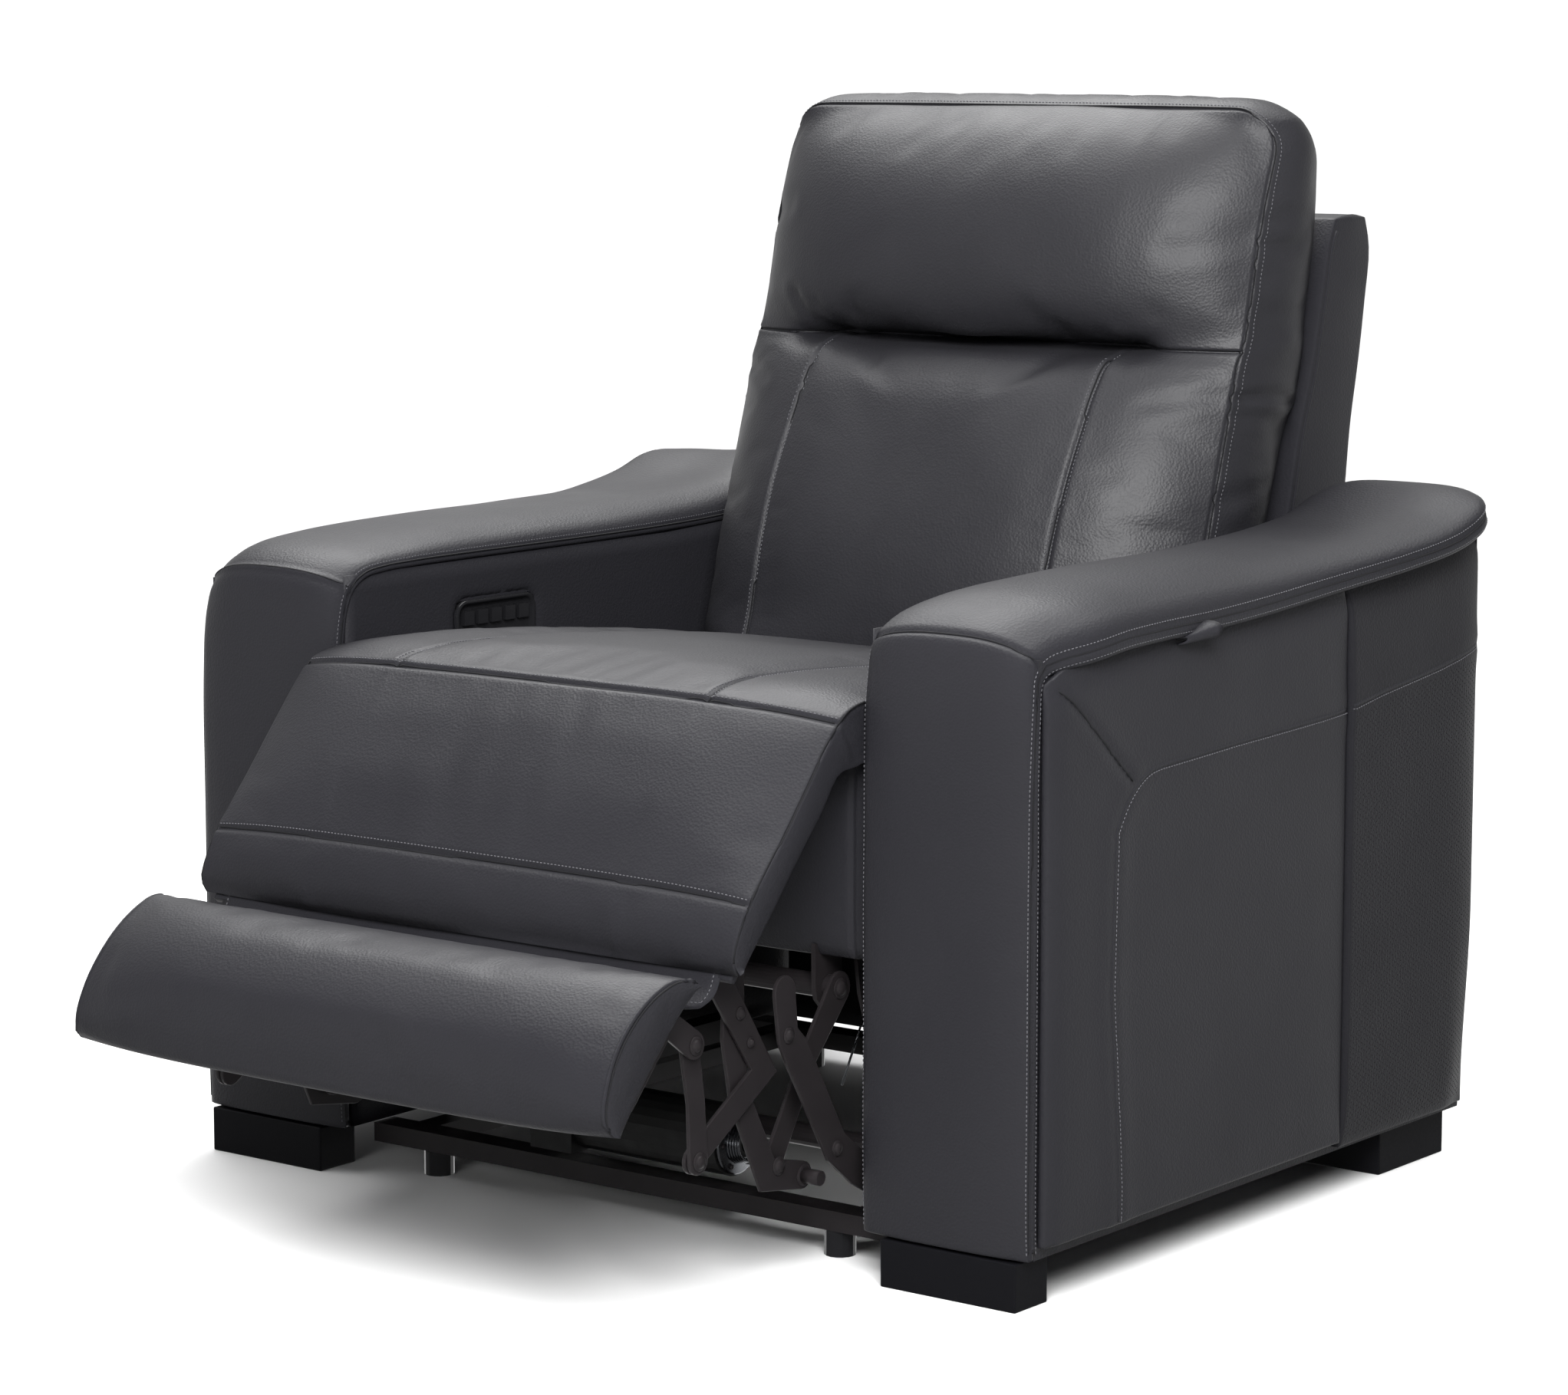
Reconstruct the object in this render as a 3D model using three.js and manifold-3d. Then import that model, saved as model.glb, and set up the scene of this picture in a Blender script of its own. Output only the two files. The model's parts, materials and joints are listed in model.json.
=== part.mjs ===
// A power recliner armchair with padded arms, shown with its leg rest partly raised.
// Millimetres, +Z up, the sitter faces -Y, and +X is the sitter's left.
// In the dimensions below Y = 0 is near the front of the arms and Z = 0 is the floor.

import * as THREE from 'three';
import { mergeVertices } from 'three/addons/utils/BufferGeometryUtils.js';
import Module from 'manifold-3d';

const wasm = await Module();
wasm.setup();

// ---- driving dimensions -------------------------------------------------------------------

const DEPTH_CENTRE_Y = 241.17;     // middle of the whole chair's depth, moved to Y = 0
const GAP = 0.3;                   // left between faces that touch

const ARM_INNER_X = 324;           // half the clear width between the arms
const ARM_OUTER_X = 502;           // outer face of the arm's timber frame
const ARM_PANEL_X = 522;           // outer face of the padded side panels
const CAP_OUTER_X = 542;           // the arm cap overhangs the side panels
const ARM_FRONT_Y = -4;             // front of the arm's timber frame
const ARM_DEPTH = 752;             // rear of the arm's timber frame
const ARM_BOTTOM_Z = 45;
const ARM_TOP_Z = 584;             // underside of the cap over the front of the arm
const ARM_TOP_REAR_Z = 612;        // underside of the cap at its raised rear end
const ARM_RISE_Y = 403;            // where the cap starts to rise
const FLAP_REAR_Y = 501;           // rear edge of the pocket flap

const SEAT_HALF = 318;             // half the width of everything between the arms
const KNEE_Y = -56;                // seam where the seat turns down into the leg rest
const KNEE_Z = 519;
const LEG_SLOPE = THREE.MathUtils.degToRad(48.2);
const LEG_PIVOT = [14.3, -27.5];   // leg rest hinge: along the leg rest, and out from its face
const LEG_END = 250;               // length of the leg rest pad below the knee seam
const FOOT_START = 284;            // top edge of the footrest along the same slope

const SHAFT = [15, 260];           // drive shaft of the leg rest linkage (y, z)
const SUPPORT_PIN = [190, -50];    // support link's pivot on the leg bracket (along, out)
const FOOT_LINK_FOOT = [-214, 145];
const FOOT_LINK_HEAD = [-226, 252];

const RECLINE_PIVOT = [600, 400];
const HEAD_PIVOT = [668, 806];

const LINK_HALF = 11;
const LINK_STEP = 6;               // spacing of the link plates across the chair
const LINK_THICK = 4;
const LINK_X = 268;                // inner face of the innermost link plate

const SIDES = [['left', 1], ['right', -1]];

// ---- materials ----------------------------------------------------------------------------

const finish = (color, roughness, metalness) => (
  new THREE.MeshStandardMaterial({ color, roughness, metalness })
);

const leather = () => finish(0x3b3c40, 0.55, 0);
const perforatedLeather = () => finish(0x38393d, 0.65, 0);
const paintedSteel = () => finish(0x101012, 0.35, 0.6);
const blackPlastic = () => finish(0x0b0b0c, 0.3, 0);
const blackFoot = () => finish(0x121214, 0.5, 0);
const underCloth = () => finish(0x17181a, 0.9, 0);

// ---- shape helpers ------------------------------------------------------------------------

const chair = new THREE.Group();
chair.position.y = -DEPTH_CENTRE_Y;

function addPart(name, geometry, material) {
  const mesh = new THREE.Mesh(geometry, material);
  mesh.name = name;
  chair.add(mesh);
  return mesh;
}

// Each end cap's triangles, turned to face the same way as the outline (y, z).
function capTriangles(outline) {
  const contour = outline.map(([y, z]) => new THREE.Vector2(y, z));
  return THREE.ShapeUtils.triangulateShape(contour, []).map(([a, b, c]) => {
    const ab = contour[b].clone().sub(contour[a]);
    const ac = contour[c].clone().sub(contour[a]);
    return ab.cross(ac) > 0 ? [a, b, c] : [a, c, b];
  });
}

// A closed body through outlines (y, z) that all have the same number of points,
// given anticlockwise seen from +X, each at its own x.
function loft(stations) {
  const count = stations[0][1].length;
  const positions = stations.flatMap(([x, outline]) => outline.flatMap(([y, z]) => [x, y, z]));
  const index = [];
  for (let s = 0; s + 1 < stations.length; s += 1) {
    for (let i = 0; i < count; i += 1) {
      const a = s * count + i;
      const b = s * count + ((i + 1) % count);
      index.push(a, b, b + count, a, b + count, a + count);
    }
  }
  const last = (stations.length - 1) * count;
  capTriangles(stations[0][1]).forEach(([a, b, c]) => index.push(a, c, b));
  capTriangles(stations.at(-1)[1]).forEach(([a, b, c]) => index.push(last + a, last + b, last + c));
  const geometry = new THREE.BufferGeometry();
  geometry.setAttribute('position', new THREE.Float32BufferAttribute(positions, 3));
  geometry.setIndex(index);
  geometry.computeVertexNormals();
  return geometry;
}

const span = (side, inner, outer) => (side > 0 ? [inner, outer] : [-outer, -inner]);

function prism(outline, x0, x1) {
  return loft([[x0, outline], [x1, outline]]);
}

const rectangle = (y0, y1, z0, z1) => [[y0, z0], [y1, z0], [y1, z1], [y0, z1]];

const box = (x0, x1, y0, y1, z0, z1) => prism(rectangle(y0, y1, z0, z1), x0, x1);

// Points on a circle about a centre, from one angle to another (degrees, both included).
function arc([y, z], radius, from, to, steps) {
  return Array.from({ length: steps + 1 }, (_, i) => {
    const angle = THREE.MathUtils.degToRad(from + ((to - from) * i) / steps);
    return [y + radius * Math.cos(angle), z + radius * Math.sin(angle)];
  });
}

const disc = (centre, radius, steps = 16) => arc(centre, radius, 0, 360, steps).slice(0, steps);

const rod = (centre, radius, x0, x1, steps = 16) => prism(disc(centre, radius, steps), x0, x1);

// A crowned pad: its outline swells from the two ends to the middle of its width.
function crownedPad(halfWidth, outline) {
  const places = [-1, -0.82, -0.45, 0, 0.45, 0.82, 1];
  return loft(places.map((place) => [
    place * halfWidth,
    outline(1 - Math.abs(place) ** 2.5),
  ]));
}

function toSolid(geometry) {
  const bare = geometry.clone();
  bare.deleteAttribute('normal');
  bare.deleteAttribute('uv');
  const merged = mergeVertices(bare, 1e-4);
  return new wasm.Manifold(new wasm.Mesh({
    numProp: 3,
    vertProperties: new Float32Array(merged.attributes.position.array),
    triVerts: Uint32Array.from(merged.index.array),
  }));
}

function toGeometry(solid) {
  const mesh = solid.getMesh();
  const geometry = new THREE.BufferGeometry();
  geometry.setAttribute('position', new THREE.BufferAttribute(mesh.vertProperties, 3));
  geometry.setIndex(new THREE.BufferAttribute(mesh.triVerts, 1));
  geometry.computeVertexNormals();
  return geometry;
}

const join = (shapes) => shapes.map(toSolid).reduce((whole, next) => whole.add(next));

const cut = (solid, shapes) => shapes.map(toSolid).reduce((left, next) => left.subtract(next), solid);

// A flat bar with round ends between two pivots.
function bar(from, to, halfWidth, x0, x1) {
  const heading = THREE.MathUtils.radToDeg(Math.atan2(to[1] - from[1], to[0] - from[0]));
  return prism([
    ...arc(to, halfWidth, heading - 90, heading + 90, 6),
    ...arc(from, halfWidth, heading + 90, heading + 270, 6),
  ], x0, x1);
}

// ---- link plates --------------------------------------------------------------------------

const layerX = (layer) => LINK_X + layer * LINK_STEP;

// A pivot pin through the next plate, with its head beyond it. Away is +1 outwards, -1 inwards.
function pivotPin(centre, side, layer, away) {
  const inner = layerX(layer);
  const outer = inner + LINK_THICK;
  const far = LINK_STEP + 1.2;
  const near = away > 0 ? [outer - 1, inner + LINK_STEP + LINK_THICK + 1.2] : [inner - far, inner + 1];
  const head = away > 0
    ? [inner + LINK_STEP + LINK_THICK + 0.5, inner + LINK_STEP + LINK_THICK + 1.7]
    : [inner - far - 0.5, inner - far + 0.7];
  return [rod(centre, 4, ...span(side, ...near)), rod(centre, 7, ...span(side, ...head))];
}

const PIN_HOLE = 4.6;

function linkPlate(side, layer, points, { holes = [], pins = [], half = LINK_HALF } = {}) {
  const [x0, x1] = span(side, layerX(layer), layerX(layer) + LINK_THICK);
  const bars = points.slice(1).map((point, i) => bar(points[i], point, half, x0, x1));
  const pinBodies = pins.flatMap(({ at, away }) => pivotPin(at, side, layer, away));
  const plate = join([...bars, ...pinBodies]);
  return toGeometry(cut(plate, holes.map((at) => rod(at, PIN_HOLE, x0 - 1, x1 + 1))));
}

// ---- the leg rest's own slope -------------------------------------------------------------

function onLeg(along, out) {
  return [
    KNEE_Y - along * Math.cos(LEG_SLOPE) - out * Math.sin(LEG_SLOPE),
    KNEE_Z - along * Math.sin(LEG_SLOPE) + out * Math.cos(LEG_SLOPE),
  ];
}

const KNEE_CENTRE = onLeg(...LEG_PIVOT);
const SUPPORT_TOP = onLeg(...SUPPORT_PIN);
const LINK_JOINT = [
  SUPPORT_TOP[0] + SHAFT[0] - KNEE_CENTRE[0],
  SUPPORT_TOP[1] + SHAFT[1] - KNEE_CENTRE[1],
];

// ---- base ---------------------------------------------------------------------------------

function addBase() {
  const railX = [262, 290];
  const railZ = [25, 44];
  addPart('base_front_rail', box(-ARM_INNER_X + GAP, ARM_INNER_X - GAP, 30, 60, ...railZ), paintedSteel());
  addPart('base_rear_rail', box(-ARM_INNER_X + GAP, ARM_INNER_X - GAP, 640, 670, ...railZ), paintedSteel());
  for (const [name, side] of SIDES) {
    const [x0, x1] = span(side, ...railX);
    addPart(`base_side_rail_${name}`, box(x0, x1, 60 + GAP, 640 - GAP, ...railZ), paintedSteel());
    for (const [place, y] of [['front', 45], ['rear', 655]]) {
      const glide = new THREE.CylinderGeometry(15, 15, railZ[0] - GAP, 16);
      const foot = addPart(`base_glide_${place}_${name}`, glide, blackPlastic());
      foot.rotation.x = Math.PI / 2;
      foot.position.set(side * 250, y, (railZ[0] - GAP) / 2);
    }
  }
}

// ---- arms ---------------------------------------------------------------------------------

const capUnderside = (y) => (
  ARM_TOP_Z + Math.max(0, y - ARM_RISE_Y) * ((ARM_TOP_REAR_Z - ARM_TOP_Z) / (ARM_DEPTH - ARM_RISE_Y))
);

const CONTROL = { y0: 160, y1: 281, z0: 504, z1: 556, depth: 6 };

function addArmFrame(name, side) {
  const outline = [
    [ARM_FRONT_Y, ARM_BOTTOM_Z], [ARM_DEPTH, ARM_BOTTOM_Z], [ARM_DEPTH, ARM_TOP_REAR_Z],
    [ARM_RISE_Y, ARM_TOP_Z], [ARM_FRONT_Y, ARM_TOP_Z],
  ];
  const pocket = box(...span(side, ARM_INNER_X + 26, ARM_OUTER_X + 1), 22, 482, 72, ARM_TOP_Z - 22);
  const cuts = [pocket];
  if (side < 0) {
    cuts.push(box(
      -ARM_INNER_X - CONTROL.depth - 3, -ARM_INNER_X + 1,
      CONTROL.y0 - GAP, CONTROL.y1 + GAP, CONTROL.z0 - GAP, CONTROL.z1 + GAP,
    ));
  }
  const frame = cut(toSolid(prism(outline, ...span(side, ARM_INNER_X, ARM_OUTER_X))), cuts);
  addPart(`arm_frame_${name}`, toGeometry(frame), leather());
}

function addArmPanels(name, side) {
  const frontOutline = [
    [-GAP, ARM_BOTTOM_Z], [-GAP, 598], [-16, 598], [-22, 590],
    [-24, 400], [-24, 200], [-21, 52], [-16, ARM_BOTTOM_Z],
  ].map(([y, z]) => [ARM_FRONT_Y + y, z]);
  const frontX = span(side, ARM_INNER_X - 1, ARM_OUTER_X + 4);
  addPart(`arm_front_panel_${name}`, prism(frontOutline, ...frontX), leather());

  const sideX = span(side, ARM_OUTER_X + GAP, ARM_PANEL_X - 3);
  const rearOutline = [
    [FLAP_REAR_Y + 3, 50], [ARM_DEPTH - 1, 50], [ARM_DEPTH - 1, capUnderside(ARM_DEPTH - 1) - 1],
    [FLAP_REAR_Y + 3, capUnderside(FLAP_REAR_Y + 3) - 1],
  ];
  addPart(`arm_rear_side_panel_${name}`, prism(rearOutline, ...sideX), perforatedLeather());

  const flapOutline = [
    [ARM_FRONT_Y + 2, 56], [FLAP_REAR_Y, 56], [FLAP_REAR_Y, capUnderside(FLAP_REAR_Y) - 2],
    [ARM_RISE_Y, ARM_TOP_Z - 2], [ARM_FRONT_Y + 2, ARM_TOP_Z - 2],
  ];
  const flapX = span(side, ARM_OUTER_X + 1, ARM_PANEL_X);
  addPart(`pocket_flap_${name}`, prism(flapOutline, ...flapX), leather());
  const tabX = span(side, ARM_PANEL_X + GAP, ARM_PANEL_X + 9);
  addPart(`flap_pull_tab_${name}`, box(...tabX, 204, 227, 566, 580), leather());
}

function addArmCap(name, side) {
  const profile = [
    [-28, 598 + GAP], [ARM_FRONT_Y - GAP, 598 + GAP], [ARM_FRONT_Y - GAP, ARM_TOP_Z + GAP],
    [ARM_RISE_Y, ARM_TOP_Z + GAP], [ARM_DEPTH, ARM_TOP_REAR_Z + GAP], [ARM_DEPTH + 10, ARM_TOP_REAR_Z + 18],
    [772, 642], [776, 652], [768, 663], [722, 667],
    [650, 658], [560, 648], [470, 641], [340, 637], [150, 634], [80, 628], [20, 617], [-12, 606], [-28, 601],
  ];
  const rounding = (inset) => profile.map(([y, z]) => [
    y, z > capUnderside(y) + 14 ? z - inset * Math.min(1, (z - 600) / 40) : z,
  ]);
  const [from, to] = [ARM_INNER_X - 1, CAP_OUTER_X];
  const stations = [[from, rounding(16)], [from + 30, rounding(0)], [to - 34, rounding(0)], [to, rounding(18)]];
  const placed = side > 0 ? stations : stations.map(([x, ring]) => [-x, ring]).reverse();
  addPart(`arm_cap_${name}`, loft(placed), leather());
}

function addArmFeet(name, side) {
  const footTop = ARM_BOTTOM_Z - GAP;
  const [x0, x1] = span(side, 347, 496);
  addPart(`arm_foot_front_${name}`, box(x0, x1, -24, 27, 0, footTop), blackFoot());
  addPart(`arm_foot_rear_${name}`, box(x0, x1, 608, 734, 0, footTop), blackFoot());
}

function addControls() {
  const plateX = [-ARM_INNER_X - CONTROL.depth, -ARM_INNER_X + 1];
  const buttonSize = { y: 15, z: 14 };
  const pitch = 21;
  const midZ = (CONTROL.z0 + CONTROL.z1) / 2 + 8;
  const places = [-2, -1, 0, 1, 2].map((i) => (CONTROL.y0 + CONTROL.y1) / 2 + i * pitch);
  const opening = (y, slack) => [
    y - buttonSize.y / 2 - slack, y + buttonSize.y / 2 + slack,
    midZ - buttonSize.z / 2 - slack, midZ + buttonSize.z / 2 + slack,
  ];
  const plate = toSolid(box(...plateX, CONTROL.y0, CONTROL.y1, CONTROL.z0, CONTROL.z1));
  const holes = places.map((y) => box(plateX[0] - 1, plateX[1] + 1, ...opening(y, 0.5)));
  addPart('control_bezel', toGeometry(cut(plate, holes)), blackPlastic());
  places.forEach((y, i) => {
    addPart(`control_button_${i + 1}`, box(plateX[0] + 0.8, plateX[1] + 1.8, ...opening(y, 0)), blackPlastic());
  });
}

function addArms() {
  for (const [name, side] of SIDES) {
    addArmFrame(name, side);
    addArmPanels(name, side);
    addArmCap(name, side);
    addArmFeet(name, side);
  }
  addControls();
}

// ---- seat and its carriage ----------------------------------------------------------------

const SEAT_BOX = { top: 478, bottom: 303 };

function addSeatCushion() {
  const outline = (crown) => [
    [14, SEAT_BOX.top + GAP], [540, SEAT_BOX.top + GAP], [540, 482],
    [425, 496 + 4 * crown], [285, 515 + 6 * crown], [154, 529 + 7 * crown],
    [-14, 535 + 7 * crown], [-52 - 10 * crown, 531 + 4 * crown],
    ...arc(KNEE_CENTRE, 30.5, 103, 0, 6), [KNEE_CENTRE[0] + 30.5, SEAT_BOX.top + GAP],
  ];
  addPart('seat_cushion', crownedPad(SEAT_HALF, outline), leather());
}

function addSideFrame(name, side) {
  const [x0, x1] = span(side, 262, 266);
  const pieces = [
    box(...span(side, 262, 290), 100, 560, 50, 74),
    bar([130, 66], [66, 250], 12, x0, x1),
    bar([66, 250], [60, 290], 12, x0, x1),
    bar([530, 66], [490, 290], 12, x0, x1),
  ];
  const trim = box(x0 - 1, x1 + 1, -50, 600, SEAT_BOX.bottom - GAP, 340);
  addPart(`seat_side_frame_${name}`, toGeometry(cut(join(pieces), [trim])), paintedSteel());
}

function addShaftBracket(name, side) {
  const [x0, x1] = span(side, 254, 259);
  const blank = join([bar([SHAFT[0], SHAFT[1]], [SHAFT[0], 320], 20, x0, x1)]);
  const cuts = [
    rod(SHAFT, 11.4, x0 - 1, x1 + 1, 20),
    box(x0 - 1, x1 + 1, -60, 100, SEAT_BOX.bottom - GAP, 360),
  ];
  addPart(`shaft_bracket_${name}`, toGeometry(cut(blank, cuts)), paintedSteel());
}

function addReclineBracket(name, side) {
  const [x0, x1] = span(side, 274, 279);
  const pinX = span(side, 278, 286);
  const headX = span(side, 285.5, 288);
  const pieces = [
    bar([520, 360], RECLINE_PIVOT, 16, x0, x1),
    rod(RECLINE_PIVOT, 7, ...pinX),
    rod(RECLINE_PIVOT, 11, ...headX),
  ];
  const trim = box(x0 - 1, x1 + 1, 440, 500 + GAP, 300, 420);
  addPart(`recline_bracket_${name}`, toGeometry(cut(join(pieces), [trim])), paintedSteel());
}

function addCarriage() {
  addPart('seat_frame', box(-SEAT_HALF, SEAT_HALF, 12, 500, SEAT_BOX.bottom, SEAT_BOX.top), underCloth());
  const frontOutline = [
    [12 - GAP, SEAT_BOX.bottom], [12 - GAP, SEAT_BOX.top], [-2, SEAT_BOX.top], [-4, 465],
    [-6, 400], [-4, 312], [0, SEAT_BOX.bottom],
  ];
  addPart('seat_front_panel', prism(frontOutline, -SEAT_HALF, SEAT_HALF), leather());
  addSeatCushion();
  addPart('carriage_cross_tube', rod([110, 88], 11, -262 + GAP, 262 - GAP), paintedSteel());
  const motor = join([
    rod([56, 86], 34, -60, 118, 24),
    box(-110, -58, 22, 92, 53, 132),
    rod([56, 86], 14, 116, 132),
  ]);
  addPart('drive_motor', toGeometry(motor), blackPlastic());
  for (const [name, side] of SIDES) {
    addSideFrame(name, side);
    addShaftBracket(name, side);
    addReclineBracket(name, side);
  }
}

// ---- leg rest, footrest and their links ---------------------------------------------------

function addLegRestPad() {
  const knuckle = arc([0, 0], 27.5, -90, 90, 8);
  const outline = (crown) => [
    ...knuckle.map(([a, b]) => onLeg(LEG_PIVOT[0] - a, LEG_PIVOT[1] + b)),
    onLeg(120, 4 + 10 * crown), onLeg(212, 2 + 5 * crown), onLeg(238, -6), onLeg(LEG_END, -16),
    onLeg(LEG_END - 2, -27), onLeg(LEG_END - 10, -31), onLeg(41, -31), onLeg(30, -50),
  ];
  addPart('leg_rest_pad', crownedPad(SEAT_HALF, outline), leather());
}

function addFootrestPad() {
  const outline = (crown) => [
    onLeg(FOOT_START, 10), onLeg(FOOT_START + 2, 26), onLeg(300, 42 + 5 * crown),
    onLeg(330, 54 + 12 * crown), onLeg(365, 59 + 16 * crown), onLeg(400, 57 + 18 * crown),
    onLeg(432, 47 + 17 * crown), onLeg(448 + 10 * crown, 33 + 4 * crown),
    onLeg(448 + 6 * crown, 20), onLeg(438, 12),
  ];
  addPart('footrest_pad', crownedPad(SEAT_HALF, outline), leather());
}

function addLegLinks(name, side) {
  const arm = linkPlate(
    side, 2,
    [onLeg(150, -44), SUPPORT_TOP, onLeg(245, -62), onLeg(270, -165), FOOT_LINK_FOOT],
    { pins: [{ at: SUPPORT_TOP, away: -1 }, { at: FOOT_LINK_FOOT, away: 1 }] },
  );
  addPart(`leg_arm_${name}`, arm, paintedSteel());

  const support = linkPlate(side, 1, [SUPPORT_TOP, LINK_JOINT], {
    holes: [SUPPORT_TOP], pins: [{ at: LINK_JOINT, away: -1 }],
  });
  addPart(`support_link_${name}`, support, paintedSteel());

  const drive = linkPlate(side, 0, [SHAFT, LINK_JOINT], { holes: [LINK_JOINT], half: LINK_HALF + 1 });
  addPart(`drive_link_${name}`, drive, paintedSteel());

  const footLink = linkPlate(side, 3, [FOOT_LINK_FOOT, FOOT_LINK_HEAD], {
    holes: [FOOT_LINK_FOOT], pins: [{ at: FOOT_LINK_HEAD, away: 1 }],
  });
  addPart(`foot_link_${name}`, footLink, paintedSteel());

  const seat = linkPlate(side, 4, [FOOT_LINK_HEAD, onLeg(318, -4), onLeg(400, -4)], {
    holes: [FOOT_LINK_HEAD],
  });
  addPart(`foot_bracket_${name}`, seat, paintedSteel());
}

function addLegRest() {
  addLegRestPad();
  addFootrestPad();
  addPart('drive_shaft', rod(SHAFT, 11, -LINK_X + GAP, LINK_X - GAP, 20), paintedSteel());
  for (const [name, side] of SIDES) {
    addLegLinks(name, side);
  }
}

// ---- back ---------------------------------------------------------------------------------

function addBackShell() {
  const outline = [
    [640, 345], [772, 330], [800, 480], [829, 649], [855, 781], [874, 899], [873, 919],
    [858, 931], [819, 941], [800, 930], [790, 900], [777, 820], [766, 780], [744, 720], [724, 640],
  ];
  addPart('back_shell', prism(outline, -312, 312), leather());
}

function addLumbarCushion() {
  const outline = (crown) => [
    [548, 486], [664, 486], [723, 640], [742, 715], [757, 765], [756, 794],
    [HEAD_PIVOT[0], HEAD_PIVOT[1] - 10], [648 - 52 * crown, 794 - 8 * crown],
    [634 - 76 * crown, 773], [622 - 119 * crown, 672 + 30 * (1 - crown)],
    [598 - 134 * crown, 590], [560 - 130 * crown, 520 - 8 * crown],
  ];
  addPart('lumbar_cushion', crownedPad(310, outline), leather());
}

function addHeadCushion() {
  const outline = (crown) => [
    [HEAD_PIVOT[0], HEAD_PIVOT[1] + 10], [758, 806], [764, 825], [778, 895],
    [784, 957], [778, 1030], [750, 1047 + 5 * crown], [696, 1047 + 12 * crown],
    [706 - 36 * crown, 1022 + 14 * crown], [692 - 72 * crown, 960], [676 - 84 * crown, 890],
    [662 - 76 * crown, 846],
  ];
  addPart('head_cushion', crownedPad(310, outline), leather());
}

function addBackBracket(name, side) {
  const [x0, x1] = span(side, 280, 285);
  const blank = join([
    bar(RECLINE_PIVOT, [626, 372], 16, x0, x1),
    bar(RECLINE_PIVOT, [634, 440], 16, x0, x1),
  ]);
  addPart(`back_bracket_${name}`, toGeometry(cut(blank, [rod(RECLINE_PIVOT, 7.6, x0 - 1, x1 + 1)])), paintedSteel());
}

function addBack() {
  addBackShell();
  addLumbarCushion();
  addHeadCushion();
  addPart('headrest_hinge_rod', rod(HEAD_PIVOT, 6, -280, 280, 12), paintedSteel());
  for (const [name, side] of SIDES) {
    addBackBracket(name, side);
  }
}

addBase();
addArms();
addCarriage();
addLegRest();
addBack();

export default chair;
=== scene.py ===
"""Looks of the recliner armchair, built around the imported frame. Lengths are in millimetres in the
chair's own drawing, whose Y = 0 lies near the front of the arms, until place() puts them in the frame."""

import json
import math

import bmesh
import bpy
import numpy as np
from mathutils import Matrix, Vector
from mathutils.kdtree import KDTree


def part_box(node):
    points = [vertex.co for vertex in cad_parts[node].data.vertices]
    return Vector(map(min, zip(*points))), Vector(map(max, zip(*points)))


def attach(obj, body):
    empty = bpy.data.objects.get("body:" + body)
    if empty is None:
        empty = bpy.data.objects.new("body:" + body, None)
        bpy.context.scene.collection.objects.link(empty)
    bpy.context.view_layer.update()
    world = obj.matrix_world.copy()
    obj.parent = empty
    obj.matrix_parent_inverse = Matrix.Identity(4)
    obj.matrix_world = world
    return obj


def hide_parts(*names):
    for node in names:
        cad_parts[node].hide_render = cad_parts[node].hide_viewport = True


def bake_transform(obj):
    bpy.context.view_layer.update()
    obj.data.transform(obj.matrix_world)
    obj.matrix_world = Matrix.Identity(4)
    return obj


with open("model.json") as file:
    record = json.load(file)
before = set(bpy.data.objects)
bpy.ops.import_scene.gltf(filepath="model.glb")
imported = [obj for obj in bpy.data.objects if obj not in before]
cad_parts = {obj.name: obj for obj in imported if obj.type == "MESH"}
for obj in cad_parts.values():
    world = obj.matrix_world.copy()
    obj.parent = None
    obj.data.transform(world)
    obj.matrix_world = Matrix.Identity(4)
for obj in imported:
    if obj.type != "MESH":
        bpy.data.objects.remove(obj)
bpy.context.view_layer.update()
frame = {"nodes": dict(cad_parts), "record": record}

MM = 0.001
FRONT_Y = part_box("arm_frame_left")[0].y + 4 * MM
SIDES = (("left", 1), ("right", -1))

# ---- places taken from the frame ----------------------------------------------------------


def drawn_box(node):
    """The low and high corners of a CAD node in the chair's own drawing, in millimetres."""
    return [np.array([corner.x, corner.y - FRONT_Y, corner.z]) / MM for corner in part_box(node)]


ARM_LOW, ARM_HIGH = drawn_box("arm_frame_left")
ARM_INNER, ARM_FRONT, ARM_LOW_Z = ARM_LOW
ARM_OUTER, ARM_REAR = ARM_HIGH[:2]
FLAP_LOW, FLAP_HIGH = drawn_box("pocket_flap_left")
FLAP_FRONT = FLAP_LOW[1]
FLAP_OUTER, FLAP_REAR = FLAP_HIGH[:2]
SEAT_HALF = drawn_box("seat_cushion")[1][0]
CONTROL_LOW, CONTROL_HIGH = drawn_box("control_bezel")
KNEE = np.array([-56.0, 519.0])
LEG_SLOPE = math.radians(48.2)


def place(points):
    """Points of the drawing, in the frame's metres."""
    placed = np.asarray(points, float) * MM
    placed[..., 1] += FRONT_Y
    return placed


def on_leg(along, out):
    """(y, z) of a place on the leg rest: along its face from the knee, and out from that face."""
    return (KNEE[0] - along * math.cos(LEG_SLOPE) - out * math.sin(LEG_SLOPE),
            KNEE[1] - along * math.sin(LEG_SLOPE) + out * math.cos(LEG_SLOPE))


def on_leg_step(along, out):
    """A small step in the leg rest's own directions."""
    start, end = on_leg(0, 0), on_leg(along, out)
    return np.array([0, end[0] - start[0], end[1] - start[1]])


# ---- camera, floor and light --------------------------------------------------------------

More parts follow.
